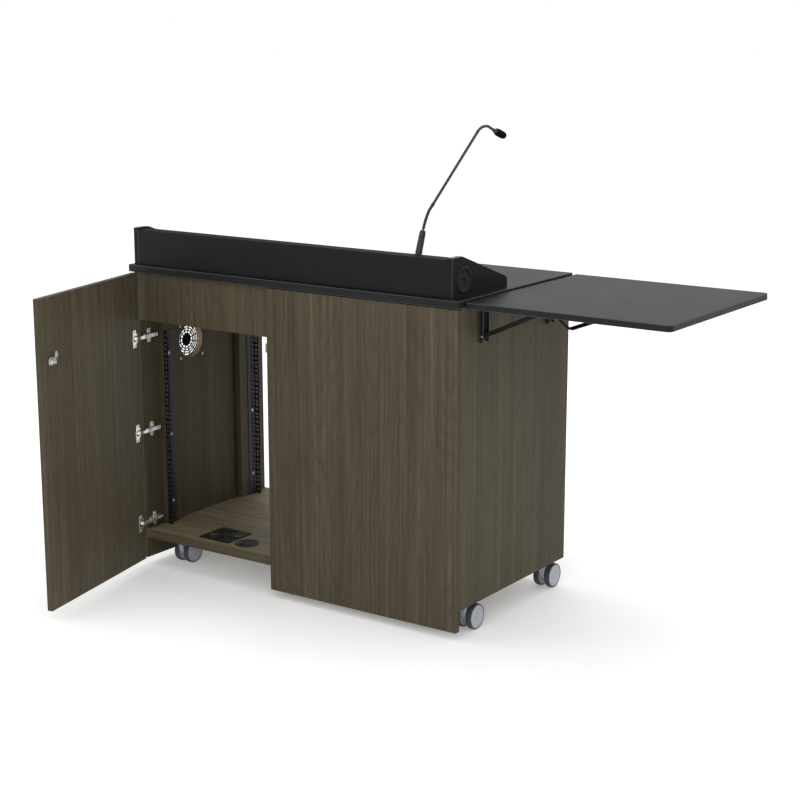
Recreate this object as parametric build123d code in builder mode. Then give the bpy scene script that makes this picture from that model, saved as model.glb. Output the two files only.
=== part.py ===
from build123d import *
import os
from math import atan2, cos, hypot, radians, sin, tan

# Lectern podium on casters: two-bay cabinet, riser with reading board, fold-down side
# shelf, and a rack bay behind the left front door.
# Millimetres. X runs left to right as the audience sees it, -Y faces the audience,
# +Y faces the presenter, Z is up. The origin is on the floor under the middle of the
# worktop. Suffixes: _l left, _r right, _w width, _d depth or diameter, _h height,
# _t thickness, _len length; _in and _out are the inner and outer side.

# Worktop
top_w, top_d, top_t = 1220.0, 635.0, 22.0
top_z = 980.0
top_under = top_z - top_t
edge_round = 1.2                    # on the worktop and the side shelf

# Carcass
board = 18.0
half_w = 607.0                      # outer face of the side panels
in_x = half_w - board               # inner face of the side panels
front_y, rear_y = -296.0, 304.0     # front and rear edge of the carcass
mid_y = (front_y + rear_y) / 2
skirt_z = 24.5                      # lower edge of front panel and left side
right_z = 86.0                      # lower edge of the right side panel
base_z, base_t = 93.0, 28.0         # underside and thickness of the bottom panel
floor_z = base_z + base_t           # top of the bottom panel
div_r = -49.0                       # right face of the centre divider
div_l = div_r - board
header_z = 803.5                    # lower edge of the front header
rear_rail_h = 100.0
rear_rail_z = top_under - rear_rail_h
face_y = -314.5                     # front face of the fixed panel
face_top = 955.0
panel_l = -65.0                     # left edge of the fixed front panel

# Shelf pins: holes in vertical rows, pins in the middle holes
shelf_pin_ys = [-220.0, 210.0]
shelf_pin_z = 470.0
shelf_pin_r, shelf_pin_hole_r = 2.5, 2.55
shelf_pin_hole_depth = 10
shelf_pin_pitch, shelf_pin_count = 64, 5
shelf_pin_len, shelf_pin_out = 17.5, 8

# Ventilation and cable openings
wall_vent_y, wall_vent_z, wall_vent_d = -60.0, 702.0, 110.0
fan_pitch = 105.0                   # screw pitch of both vents
floor_vent_x, floor_vent_y, floor_vent_d = -333.0, -208.0, 104.0
grommet_flange, grommet_hole, grommet_bore = 76.0, 60.0, 55.0
grommet_opening_r = grommet_hole / 2 + 0.3
floor_grommet_x, floor_grommet_y = -223.0, -233.0

# Levels shared between parts
hinge_heights = [150.0, 447.0, 750.0]
lock_z = 767.0
bracket_ys = [-187.0, 180.0]
leg_screw_zs = (928, 888)
run_gap = 0.05                      # radial running clearance


# Helpers

def save(part, label):
    part.label = label
    export_step(part, f"parts/{label}.step")


def rectangle_between(x0, x1, y0, y1, mode=Mode.ADD):
    """Rectangle of the current sketch from its two limits along each sketch axis."""
    with Locations(((x0 + x1) / 2, (y0 + y1) / 2)):
        Rectangle(abs(x1 - x0), abs(y1 - y0), mode=mode)


def circles_at(radius, *points, mode=Mode.ADD):
    with Locations(*points):
        Circle(radius, mode=mode)


def front_plane(y):
    """XZ plane at y, facing -Y, so that extrusions run toward the audience."""
    return Plane.XZ.offset(-y)


def side_plane(x, y, z, side=1):
    """Plane at a point, facing +X (side 1) or -X (side -1)."""
    return Plane(origin=(x, y, z), x_dir=(0, 1, 0), z_dir=(side, 0, 0))


def slab(x0, x1, y0, y1, z0, z1):
    with BuildPart() as piece:
        with BuildSketch(Plane.XY.offset(z0)):
            rectangle_between(x0, x1, y0, y1)
        extrude(amount=z1 - z0)
    return piece.part


# Worktop and carcass

def worktop():
    with BuildPart() as piece:
        with BuildSketch(Plane.XY.offset(top_under)):
            RectangleRounded(top_w, top_d, 4)
        extrude(amount=top_t)
        fillet(piece.faces().sort_by(Axis.Z)[-1].edges(), edge_round)
        fillet(piece.faces().sort_by(Axis.Z)[0].edges(), edge_round)
    return piece.part


def left_side_panel():
    with BuildPart() as piece:
        with BuildSketch(Plane.YZ.offset(-half_w)):
            rectangle_between(front_y, rear_y, skirt_z, top_under)
            with Locations((wall_vent_y, wall_vent_z)):
                Circle(wall_vent_d / 2, mode=Mode.SUBTRACT)
                with GridLocations(fan_pitch, fan_pitch, 2, 2):
                    Circle(2.1, mode=Mode.SUBTRACT)
        extrude(amount=board)
    return piece.part


def shelf_pin_hole_circles():
    for y in shelf_pin_ys:
        with Locations((y, shelf_pin_z)):
            with GridLocations(shelf_pin_pitch, shelf_pin_pitch, 1, shelf_pin_count):
                Circle(shelf_pin_hole_r)


def right_side_panel():
    with BuildPart() as piece:
        with BuildSketch(Plane.YZ.offset(in_x)):
            rectangle_between(front_y, rear_y, right_z, top_under)
        extrude(amount=board)
        with BuildSketch(Plane.YZ.offset(in_x)):
            shelf_pin_hole_circles()
        extrude(amount=shelf_pin_hole_depth, mode=Mode.SUBTRACT)
    return piece.part


def centre_divider():
    with BuildPart() as piece:
        with BuildSketch(Plane.YZ.offset(div_l)):
            rectangle_between(front_y, rear_y, floor_z, top_under)
            # notch for the rear top rail
            rectangle_between(rear_y - board, rear_y, rear_rail_z, top_under, Mode.SUBTRACT)
        extrude(amount=board)
        with BuildSketch(Plane.YZ.offset(div_r)):
            shelf_pin_hole_circles()
        extrude(amount=-shelf_pin_hole_depth, mode=Mode.SUBTRACT)
    return piece.part


def bottom_panel():
    with BuildPart() as piece:
        with BuildSketch(Plane.XY.offset(base_z)):
            rectangle_between(-in_x, in_x, front_y, rear_y)
            circles_at(floor_vent_d / 2, (floor_vent_x, floor_vent_y), mode=Mode.SUBTRACT)
            circles_at(grommet_opening_r, (floor_grommet_x, floor_grommet_y),
                       mode=Mode.SUBTRACT)
        extrude(amount=base_t)
    return piece.part


def front_header_rail():
    return slab(-in_x, div_l, front_y, front_y + board, header_z, top_under)


def rear_top_rail():
    return slab(-in_x, in_x, rear_y - board, rear_y, rear_rail_z, top_under)


def right_front_panel():
    with BuildPart() as piece:
        with BuildSketch(Plane.XY.offset(skirt_z)):
            rectangle_between(panel_l, half_w, face_y, front_y)
        extrude(amount=face_top - skirt_z)
        fillet(piece.edges().filter_by(Axis.Z).group_by(Axis.Y)[0], 1.0)
    return piece.part


# Adjustable shelf of the right bay and its pins
loose_shelf_y0, loose_shelf_y1 = -265.0, 255.0
loose_shelf_gap = 1.5               # at each end


def adjustable_shelf():
    with BuildPart() as piece:
        with BuildSketch(Plane.XY.offset(shelf_pin_z + shelf_pin_r)):
            rectangle_between(div_r + loose_shelf_gap, in_x - loose_shelf_gap,
                              loose_shelf_y0, loose_shelf_y1)
        extrude(amount=board)
        fillet(piece.edges().filter_by(Axis.X), 0.8)
    return piece.part


def shelf_pins():
    with BuildPart() as piece:
        for x in (in_x - shelf_pin_out, div_r + shelf_pin_out - shelf_pin_len):
            with BuildSketch(Plane.YZ.offset(x)):
                circles_at(shelf_pin_r, *[(y, shelf_pin_z) for y in shelf_pin_ys])
            extrude(amount=shelf_pin_len)
    return piece.part


# Riser
riser_l, riser_r = -599.0, 578.0
riser_in_l, riser_in_r = riser_l + board, riser_r - board
riser_mid, riser_span = (riser_in_l + riser_in_r) / 2, riser_in_r - riser_in_l
riser_front, riser_top = -299.8, 1093.4
riser_flat = -248.6                 # rear end of the flat top of the cheeks
riser_low_y, riser_low_z = -25.2, 1014.0
riser_rear, riser_rear_z = -10.8, 1004.5
cap_top, cap_rear = 1088.0, -252.0
cheek_grommet_y, cheek_grommet_z = -240.0, 1027.0
riser_panel_y = riser_front + 0.6   # front face of the panel, set back from the cheeks
riser_panel_back = riser_panel_y + board

# Reading board: upper edge, thickness and length down the slope of the cheeks
slope = atan2(riser_top - riser_low_z, riser_low_y - riser_flat)
reading_y, reading_z = cap_rear + 5.6, 1083.0
reading_len, reading_t = 236.0, 15
ledge_y = reading_y + reading_len * cos(slope) + 0.6
ledge_t, ledge_h = 8, 29


def riser_cheek(x0):
    with BuildPart() as piece:
        with BuildSketch(Plane.YZ.offset(x0)):
            with BuildLine():
                Polyline((riser_front, top_z), (riser_front, riser_top),
                         (riser_flat, riser_top), (riser_low_y, riser_low_z),
                         (riser_rear, riser_rear_z), (riser_rear, top_z), close=True)
            make_face()
            circles_at(grommet_opening_r, (cheek_grommet_y, cheek_grommet_z),
                       mode=Mode.SUBTRACT)
        extrude(amount=board)
        # the edge where the flat top meets the slope
        top_corner = piece.edges().filter_by(Axis.X).sort_by(
            lambda edge: abs(edge.center().Y - riser_flat) + abs(edge.center().Z - riser_top))[0]
        fillet(top_corner, 14)
    return piece.part


def riser_front_panel():
    with BuildPart() as piece:
        with BuildSketch(Plane.XY.offset(top_z)):
            rectangle_between(riser_in_l, riser_in_r, riser_panel_y, riser_panel_back)
        extrude(amount=cap_top - top_z)
        fillet(piece.edges().filter_by(Axis.X).group_by(Axis.Z)[-1].sort_by(Axis.Y)[0], 1.0)
    return piece.part


def riser_top_cap():
    return slab(riser_in_l, riser_in_r, riser_panel_back, cap_rear, cap_top - board, cap_top)


def reading_board():
    face = Plane(origin=(riser_mid, reading_y, reading_z),
                 x_dir=(1, 0, 0), z_dir=(0, sin(slope), cos(slope)))
    with BuildPart() as piece:
        with BuildSketch(face):
            with Locations((0, reading_len / 2)):
                Rectangle(riser_span, reading_len)
        extrude(amount=-reading_t)
    return piece.part


def reading_ledge():
    with BuildPart() as piece:
        with BuildSketch(Plane.XY.offset(top_z)):
            rectangle_between(riser_in_l, riser_in_r, ledge_y, ledge_y + ledge_t)
        extrude(amount=ledge_h)
        fillet(piece.edges().filter_by(Axis.X).group_by(Axis.Z)[-1], 2.5)
    return piece.part


# Cable grommets: one in each cheek, one in the bottom panel
cheek_grommet_planes = [
    side_plane(riser_r, cheek_grommet_y, cheek_grommet_z),
    Plane(origin=(riser_l, cheek_grommet_y, cheek_grommet_z),
          x_dir=(0, -1, 0), z_dir=(-1, 0, 0)),
]
floor_grommet_plane = Plane(origin=(floor_grommet_x, floor_grommet_y, floor_z),
                            x_dir=(1, 0, 0), z_dir=(0, 0, 1))
grommet_insert_r = grommet_bore / 2 - 0.1
grommet_flange_t, grommet_sleeve_len = 2.4, 16


def cable_grommet_rings():
    with BuildPart() as piece:
        for face in cheek_grommet_planes + [floor_grommet_plane]:
            for outer_d, length in ((grommet_flange, grommet_flange_t),
                                    (grommet_hole, -grommet_sleeve_len)):
                with BuildSketch(face):
                    Circle(outer_d / 2)
                    Circle(grommet_bore / 2, mode=Mode.SUBTRACT)
                extrude(amount=length)
        chamfer(piece.edges().filter_by(GeomType.CIRCLE).filter_by(
            lambda edge: abs(edge.radius - grommet_flange / 2) < 0.01), 0.8)
    return piece.part


def cable_grommet_inserts():
    """Discs with crossed slits in the two cheek grommets."""
    slit_len, slit_w = 44, 1.6
    with BuildPart() as piece:
        for face in cheek_grommet_planes:
            with BuildSketch(face.offset(-0.6)):
                Circle(grommet_insert_r)
                for angle in (0, 45, 90, 135):
                    Rectangle(slit_len, slit_w, rotation=angle, mode=Mode.SUBTRACT)
            extrude(amount=2.2)
    return piece.part


def floor_grommet_cap():
    with BuildPart() as piece:
        with BuildSketch(floor_grommet_plane.offset(-1.5)):
            Circle(grommet_insert_r)
            with Locations((0, -21)):
                SlotOverall(20, 9, mode=Mode.SUBTRACT)
        extrude(amount=3.4)
    return piece.part


# Ventilation: slotted plate over the floor opening, ring guard on the left side
grille_size, grille_t = 120.0, 3
grille_slot_r, grille_slot_w = 47.5, 5.2    # middle radius and width of the arc slots
grille_bridge_w = 9                         # solid bars between the arc slots
guard_ring_rs = (54.4, 47.3, 40.2, 33.1, 26.0)
guard_ring_w = 2.8
guard_hub_r = 21.5
guard_gap, guard_t = 0.2, 2.8


def floor_vent_grille():
    with BuildPart() as piece:
        with BuildSketch(Plane.XY.offset(floor_z)):
            with Locations((floor_vent_x, floor_vent_y)):
                RectangleRounded(grille_size, grille_size, 5)
        extrude(amount=grille_t)
        with BuildSketch(Plane.XY.offset(floor_z)):
            with Locations((floor_vent_x, floor_vent_y)):
                Circle(grille_slot_r + grille_slot_w / 2)
                Circle(grille_slot_r - grille_slot_w / 2, mode=Mode.SUBTRACT)
                for angle in (45, 135):
                    Rectangle(grille_size, grille_bridge_w, rotation=angle, mode=Mode.SUBTRACT)
                with GridLocations(fan_pitch, fan_pitch, 2, 2):
                    Circle(1.5)
        extrude(amount=grille_t, mode=Mode.SUBTRACT)
    return piece.part


def wall_vent_guard():
    with BuildPart() as piece:
        with BuildSketch(Plane.YZ.offset(-half_w - guard_gap - guard_t)):
            with Locations((wall_vent_y, wall_vent_z)):
                # largest ring first: each ring's bore clears the room for the next
                for radius in guard_ring_rs:
                    Circle(radius + guard_ring_w / 2)
                    Circle(radius - guard_ring_w / 2, mode=Mode.SUBTRACT)
                Circle(guard_hub_r)
                for angle in range(15, 195, 30):
                    Rectangle(112, 2.0, rotation=angle)
                for angle in (45, 135):
                    Rectangle(150, 4.0, rotation=angle)
                Circle(guard_hub_r)
                with GridLocations(fan_pitch, fan_pitch, 2, 2):
                    Circle(5)
                    Circle(2.2, mode=Mode.SUBTRACT)
        extrude(amount=guard_t)
    return piece.part


# 19 inch rack rails and the strips that carry them
rail_l = -570.0                     # outer face of the left rails
rack_pitch = 465.1                  # between the hole rows of left and right rails
rail_flange, rail_side, rail_t = 18.0, 40.0, 2.0
rail_r = rail_l + rail_flange + rack_pitch      # outer face of the right rails
rail_units, rack_unit = 14, 44.45
unit_hole_zs = (6.35, 22.225, 38.1)             # holes within one rack unit
rail_h = 637.0
rail_front_y, rail_rear_y = -213.0, 238.0
rail_side_hole = 22.0               # side hole row behind the mounting face
cleat_gap = 3                       # between a strip and the rail above it
hole_zs = [floor_z + (rail_h - rail_units * rack_unit) / 2 + i * rack_unit + z
           for i in range(rail_units) for z in unit_hole_zs]

# outer face, X direction into the bay, mounting face, Y direction of the side flange
rails = [(rail_l, 1, rail_front_y, 1), (rail_r, -1, rail_front_y, 1),
         (rail_l, 1, rail_rear_y, -1), (rail_r, -1, rail_rear_y, -1)]

# front and rear limit of each strip, height of the part above it
cleats = [(rail_front_y, -150.0, header_z), (158.0, rail_rear_y, rear_rail_z)]


def rack_cleats():
    with BuildPart() as piece:
        for x0, x1 in ((-in_x, rail_l), (rail_r, div_l)):
            for y0, y1, above_z in cleats:
                with BuildSketch(Plane.XY.offset(floor_z)):
                    rectangle_between(x0, x1, y0, y1)
                extrude(amount=above_z - floor_z - cleat_gap)
    return piece.part


def rack_rails():
    rail_top = floor_z + rail_h
    with BuildPart() as piece:
        for x_out, x_sign, y_face, y_sign in rails:
            x_mid = x_out + x_sign * rail_flange / 2
            with BuildSketch(front_plane(max(y_face, y_face + y_sign * rail_t))):
                rectangle_between(x_out, x_out + x_sign * rail_flange, floor_z, rail_top)
                with Locations(*[(x_mid, z) for z in hole_zs]):
                    Rectangle(9.5, 9.5, mode=Mode.SUBTRACT)
            extrude(amount=rail_t)
            with BuildSketch(Plane.YZ.offset(min(x_out, x_out + x_sign * rail_t))):
                rectangle_between(y_face + y_sign * rail_t, y_face + y_sign * rail_side,
                                  floor_z, rail_top)
                circles_at(3.4, *[(y_face + y_sign * rail_side_hole, z) for z in hole_zs],
                           mode=Mode.SUBTRACT)
            extrude(amount=rail_t)
    return piece.part


# Concealed hinges: plates and arms on the carcass
hinge_plate_y = front_y + 37.0
hinge_plate_t = 2.5
hinge_screw_pitch = 32
hinge_arm_x = -in_x + hinge_plate_t
hinge_arm_h = 12

# arm outline in plan: X from the plate's face, Y
hinge_arm_outline = [(0, -292.0), (0, -228.0), (4, -226.0), (8, -230.0),
                     (10, -262.0), (13.5, -276.0), (13.5, -292.0)]


def hinge_mounting_plates():
    with BuildPart() as piece:
        for z in hinge_heights:
            with BuildSketch(Plane.YZ.offset(-in_x)):
                with Locations((hinge_plate_y + 4, z)):
                    RectangleRounded(56, 13, 3)
                with Locations((hinge_plate_y, z)):
                    RectangleRounded(14, 46, 5)
                    with GridLocations(10, hinge_screw_pitch, 1, 2):
                        Circle(2.2, mode=Mode.SUBTRACT)
            extrude(amount=hinge_plate_t)
    return piece.part


def hinge_arms():
    with BuildPart() as piece:
        for z in hinge_heights:
            with BuildSketch(Plane.XY.offset(z - hinge_arm_h / 2)):
                with BuildLine():
                    Polyline(*[(hinge_arm_x + x, y) for x, y in hinge_arm_outline], close=True)
                make_face()
            extrude(amount=hinge_arm_h)
            with BuildSketch(Plane.YZ.offset(hinge_arm_x + 4)):
                circles_at(3.0, (-238.0, z), (-252.0, z))
            extrude(amount=12, mode=Mode.SUBTRACT)
    return piece.part


keeper_h, keeper_t = 28, 2
keeper_l, keeper_front, keeper_rear = -97.0, -282.3, -262.0


def lock_keeper():
    """Angle plate on the left face of the divider."""
    with BuildPart() as piece:
        with BuildSketch(Plane.XY.offset(lock_z - keeper_h / 2)):
            with BuildLine():
                Polyline((div_l, keeper_front), (keeper_l, keeper_front),
                         (keeper_l, keeper_front + keeper_t),
                         (div_l - keeper_t, keeper_front + keeper_t),
                         (div_l - keeper_t, keeper_rear), (div_l, keeper_rear), close=True)
            make_face()
        extrude(amount=keeper_h)
    return piece.part


# Left front door, in a frame on the hinge axis: "along" runs from the axis toward the
# lock side, "across" from the axis toward the inner face. It stands open.
hinge_x, hinge_y = -603.3, -319.3
door_open = radians(77.5)
door_cos, door_sin = cos(door_open), sin(door_open)
door_l, door_r = -3.2, 535.3        # along
door_out = 4.8                      # across
door_in = door_out + board
door_z = skirt_z + 1.5
cup_x, cup_r, cup_depth = 19.3, 17.5, 11.5
cup_flange_t = 1.6
cup_pocket = (22, 15, 2)            # width, height, corner radius
lock_x = 485.3
lock_r, plug_r = 8, 6
plug_gap = 0.05
plug_slot_front = door_out - 2.8    # front end of the plug
cam_across = door_in + 12.4         # front face of the cam
cam_t, cam_w, cam_step = 2.5, 12, 6


def door_face(along, across, z):
    """Plane parallel to the door, looking out of its inner face."""
    x = hinge_x + along * door_cos + across * door_sin
    y = hinge_y - along * door_sin + across * door_cos
    return Plane(origin=(x, y, z), x_dir=(-door_cos, door_sin, 0),
                 z_dir=(door_sin, door_cos, 0))


def lock_face(across):
    return door_face(lock_x, across, lock_z)


def left_door_panel():
    plan = Plane(origin=(hinge_x, hinge_y, door_z), x_dir=(door_cos, -door_sin, 0),
                 z_dir=(0, 0, 1))
    with BuildPart() as piece:
        with BuildSketch(plan):
            rectangle_between(door_l, door_r, door_out, door_in)
        extrude(amount=face_top - door_z)
        for z in hinge_heights:
            with BuildSketch(door_face(cup_x, door_in, z)):
                Circle(cup_r + 0.1)
            extrude(amount=-(cup_depth + 0.5), mode=Mode.SUBTRACT)
        with BuildSketch(lock_face(door_in)):
            Circle(lock_r + 0.2)
        extrude(amount=-board, mode=Mode.SUBTRACT)
    return piece.part


def hinge_cups():
    with BuildPart() as piece:
        for z in hinge_heights:
            cup_face = door_face(cup_x, door_in, z)
            with BuildSketch(cup_face):
                Circle(cup_r)
            extrude(amount=-cup_depth)
            with BuildSketch(door_face(cup_x + 5, door_in, z)):
                RectangleRounded(18, 56, 2.5)
            extrude(amount=cup_flange_t)
            # hollow the cup, then open the flange above it
            for length in (-(cup_depth - 1.5), cup_flange_t):
                with BuildSketch(cup_face):
                    RectangleRounded(*cup_pocket)
                extrude(amount=length, mode=Mode.SUBTRACT)
    return piece.part


def lock_body():
    rim_r, rim_t = 12, 2.2
    nut_r, nut_bore_r, nut_t = 11, 7, 6
    with BuildPart() as piece:
        with BuildSketch(lock_face(door_out - rim_t)):
            Circle(rim_r)
            Circle(plug_r + plug_gap, mode=Mode.SUBTRACT)
        extrude(amount=rim_t)
        with BuildSketch(lock_face(door_out)):
            Circle(lock_r)
            Circle(plug_r + plug_gap, mode=Mode.SUBTRACT)
        extrude(amount=board + 12)
        with BuildSketch(lock_face(door_in)):
            RegularPolygon(nut_r, 6)
            Circle(nut_bore_r, mode=Mode.SUBTRACT)
        extrude(amount=nut_t)
    return piece.part


def lock_plug():
    with BuildPart() as piece:
        with BuildSketch(lock_face(plug_slot_front)):
            Circle(plug_r)
        extrude(amount=cam_across - plug_slot_front)
        # key slot
        with BuildSketch(lock_face(plug_slot_front)):
            Rectangle(1.2, 8)
        extrude(amount=3, mode=Mode.SUBTRACT)
        # neck through the cam and head behind it
        with BuildSketch(lock_face(cam_across)):
            Circle(3.9)
        extrude(amount=cam_t)
        with BuildSketch(lock_face(cam_across + cam_t)):
            Circle(5.5)
        extrude(amount=2.5)
    return piece.part


def lock_cam():
    """Cranked tongue, pointing up from the plug."""
    with BuildPart() as piece:
        with BuildSketch(lock_face(cam_across)):
            Circle(8)
            rectangle_between(-cam_w / 2, cam_w / 2, 0, 16)
            Circle(4, mode=Mode.SUBTRACT)
        extrude(amount=cam_t)
        with BuildSketch(lock_face(cam_across)):
            rectangle_between(-cam_w / 2, cam_w / 2, 16 - cam_t, 16)
        extrude(amount=cam_step + cam_t)
        with BuildSketch(lock_face(cam_across + cam_step)):
            rectangle_between(-cam_w / 2, cam_w / 2, 13.5, 26.5)
            circles_at(cam_w / 2, (0, 26.5))
        extrude(amount=cam_t)
    return piece.part


# Side shelf and its fold-down brackets, on the right
shelf_l, shelf_r = 614.0, 1231.5
shelf_y0, shelf_y1 = -290.0, 331.5
shelf_top = 974.5
shelf_under = shelf_top - board
pivot_x, pivot_z = 614.0, 948.0     # shelf hinge axis
brace_z = 866.0                     # brace pivot in the wall leg
pivot_points = [(pivot_x, pivot_z), (pivot_x, brace_z)]
pin_d = 5.0
pin_over = 0.2                      # pin beyond each side of the leg
pin_head_r, pin_head_t = 4.2, 1.4
leg_bottom, leg_top = 848.0, 954.0
leg_w, leg_d, leg_t = 33.0, 12.0, 2.0
arm_w, arm_end, arm_low, arm_t = 27.0, 885.0, 944.0, 2
brace_w, brace_wall = 20.0, 2.0
brace_up, brace_down = 5.8, 6.4     # depth of the brace above and below its pivot line
brace_end_x, brace_end_z = 788.0, 946.0
brace_len = hypot(brace_end_x - pivot_x, brace_end_z - brace_z)
brace_angle = atan2(brace_end_z - brace_z, brace_end_x - pivot_x)
cut_deep = 20                       # depth of the cuts that hollow the arms and braces

# Release lever: a strip beside the outer side of each arm, joined by a grip bar
lever_x, lever_z = 830.0, 949.0     # lever pivot
lever_pin_r = 2
lever_half = 3.5                    # half the depth of the lever strip
lever_gap, lever_t = 1.0, 3.0
lever_y0 = bracket_ys[0] - arm_w / 2 - lever_gap - lever_t
lever_y1 = bracket_ys[1] + arm_w / 2 + lever_gap + lever_t
# middle line of the strip: X, Z
lever_line = [(lever_x - 6, lever_z), (lever_x + 12, lever_z - 4), (858, 940),
              (872, 930.5), (882, 922.5), (894, 918.5)]


def side_shelf():
    with BuildPart() as piece:
        with BuildSketch(Plane.XY.offset(shelf_under)):
            rectangle_between(shelf_l, shelf_r, shelf_y0, shelf_y1)
        extrude(amount=board)
        fillet(piece.edges().filter_by(Axis.Z).group_by(Axis.X)[-1], 15)
        fillet(piece.edges().filter_by(Axis.Z).group_by(Axis.X)[0], 3)
        fillet(piece.faces().sort_by(Axis.Z)[-1].edges(), edge_round)
        fillet(piece.faces().sort_by(Axis.Z)[0].edges(), edge_round)
    return piece.part


def bracket_wall_legs():
    """Channels on the right side panel, open to the right."""
    with BuildPart() as piece:
        for y in bracket_ys:
            y0, y1 = y - leg_w / 2, y + leg_w / 2
            with BuildSketch(Plane.XY.offset(leg_bottom)):
                rectangle_between(half_w, half_w + leg_d, y0, y1)
                rectangle_between(half_w + leg_t, half_w + leg_t + leg_d,
                                  y0 + leg_t, y1 - leg_t, Mode.SUBTRACT)
            extrude(amount=leg_top - leg_bottom)
            with BuildSketch(front_plane(y1)):
                circles_at(pin_d / 2 + run_gap, *pivot_points)
            extrude(amount=leg_w, mode=Mode.SUBTRACT)
            with BuildSketch(Plane.YZ.offset(half_w)):
                circles_at(2.3, *[(y, z) for z in leg_screw_zs])
            extrude(amount=leg_t, mode=Mode.SUBTRACT)
    return piece.part


def bracket_pivot_pins():
    pin_half = leg_w / 2 + pin_over
    with BuildPart() as piece:
        for y in bracket_ys:
            for point in pivot_points:
                with BuildSketch(front_plane(y + pin_half)):
                    circles_at(pin_d / 2, point)
                extrude(amount=2 * pin_half)
                for head_y in (y - pin_half, y + pin_half + pin_head_t):
                    with BuildSketch(front_plane(head_y)):
                        circles_at(pin_head_r, point)
                    extrude(amount=pin_head_t)
    return piece.part


def bracket_arms():
    """Channels under the shelf, open downward."""
    with BuildPart() as piece:
        for y in bracket_ys:
            with BuildSketch(front_plane(y + arm_w / 2)):
                with BuildLine():
                    Polyline((610.6, shelf_under), (610.6, 946.5), (612.6, 944.6),
                             (617.0, arm_low), (arm_end - 8, arm_low),
                             (arm_end, arm_low + 6), (arm_end, shelf_under), close=True)
                make_face()
            extrude(amount=arm_w)
            with BuildSketch(front_plane(y + arm_w / 2 - arm_t)):
                rectangle_between(590, arm_end + 10,
                                  shelf_under - arm_t - cut_deep, shelf_under - arm_t)
            extrude(amount=arm_w - 2 * arm_t, mode=Mode.SUBTRACT)
            with BuildSketch(front_plane(y + arm_w / 2)):
                circles_at(pin_d / 2 + run_gap, (pivot_x, pivot_z))
                circles_at(lever_pin_r + run_gap, (lever_x, lever_z))
                # notch that lets the folded arm pass the brace pin
                with Locations((pivot_x + pivot_z - brace_z, pivot_z - 4)):
                    Rectangle(pin_d + 2, 15)
            extrude(amount=arm_w, mode=Mode.SUBTRACT)
    return piece.part


def brace_plane(y):
    """Plane at y, facing -Y, with its X axis along the brace from the lower pivot."""
    return Plane(origin=(pivot_x, y, brace_z),
                 x_dir=(cos(brace_angle), 0, sin(brace_angle)), z_dir=(0, -1, 0))


def bracket_braces():
    with BuildPart() as piece:
        for y in bracket_ys:
            with BuildSketch(brace_plane(y + brace_w / 2)):
                with BuildLine():
                    Polyline((-4.5, 0), (-3.2, -3.2), (0, -4.5), (19.5, -4.5),
                             (23, -brace_down), (brace_len - 18, -brace_down),
                             (brace_len - 2, -3.6), (brace_len + 3.2, -3.0),
                             (brace_len + 4.5, 0), (brace_len + 3.2, 3.2),
                             (brace_len - 4, brace_up), (3, brace_up), (0, 4.5),
                             (-3.2, 3.2), close=True)
                make_face()
            extrude(amount=brace_w)
            with BuildSketch(brace_plane(y + brace_w / 2 - brace_wall)):
                rectangle_between(8, brace_len - 8,
                                  brace_up - brace_wall - cut_deep, brace_up - brace_wall)
            extrude(amount=brace_w - 2 * brace_wall, mode=Mode.SUBTRACT)
            with BuildSketch(brace_plane(y + brace_w / 2)):
                Circle(pin_d / 2 + run_gap)
            extrude(amount=brace_w, mode=Mode.SUBTRACT)
    return piece.part


def release_lever():
    upper = [(x, z + lever_half) for x, z in lever_line]
    lower = [(x, z - lever_half) for x, z in reversed(lever_line)]
    grip = Plane(origin=(lever_line[-1][0], lever_y1, lever_line[-1][1]),
                 x_dir=(cos(radians(-16)), 0, sin(radians(-16))), z_dir=(0, -1, 0))
    # limits in Y of the pins that reach from the strips into the arms
    pin_spans = [(lever_y0 + 1.5, bracket_ys[0] - arm_w / 2 + arm_t),
                 (bracket_ys[1] + arm_w / 2 - arm_t, lever_y1 - 1.5)]
    with BuildPart() as piece:
        for y in (lever_y0 + lever_t, lever_y1):
            with BuildSketch(front_plane(y)):
                with BuildLine():
                    Spline(*upper)
                    Line(upper[-1], lower[0])
                    Spline(*lower)
                    Line(lower[-1], upper[0])
                make_face()
            extrude(amount=lever_t)
        with BuildSketch(grip):
            with Locations((1.5, 0)):
                RectangleRounded(15, 4.5, 2)
        extrude(amount=lever_y1 - lever_y0)
        for y0, y1 in pin_spans:
            with BuildSketch(front_plane(y1)):
                circles_at(lever_pin_r, (lever_x, lever_z))
            extrude(amount=y1 - y0)
    return piece.part


# Casters
wheel_r, hub_r = 38.0, 34.0
caster_off = 22.0                   # axle behind the stem
casters = {f"{row}_{side}": (x, y)
           for row, y in (("front", -212.0), ("rear", 238.0))
           for side, x in (("left", -508.0), ("right", 573.5))}
plate_x_max = 559.5                 # keeps the right caster plates clear of the side panel
plate_size, plate_t, plate_pitch = 58, 3, 44
plate_under = base_z - plate_t
wheel_in, wheel_out = 10.0, 28.5    # across the axle, from the caster middle
hub_out = wheel_out - 1
stem_r, axle_r, cap_r = 5, 4, 10
housing_w = 17


def caster_mount_plates():
    with BuildPart() as piece:
        for x, y in casters.values():
            with BuildSketch(Plane.XY.offset(plate_under)):
                with Locations((min(x, plate_x_max), y)):
                    RectangleRounded(plate_size, plate_size, 6)
                    with GridLocations(plate_pitch, plate_pitch, 2, 2):
                        Circle(2.3, mode=Mode.SUBTRACT)
            extrude(amount=plate_t)
            # collar and stem
            for radius, length in ((14, 3), (stem_r, 18)):
                with BuildSketch(Plane.XY.offset(plate_under)):
                    circles_at(radius, (x, y))
                extrude(amount=-length)
    return piece.part


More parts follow.
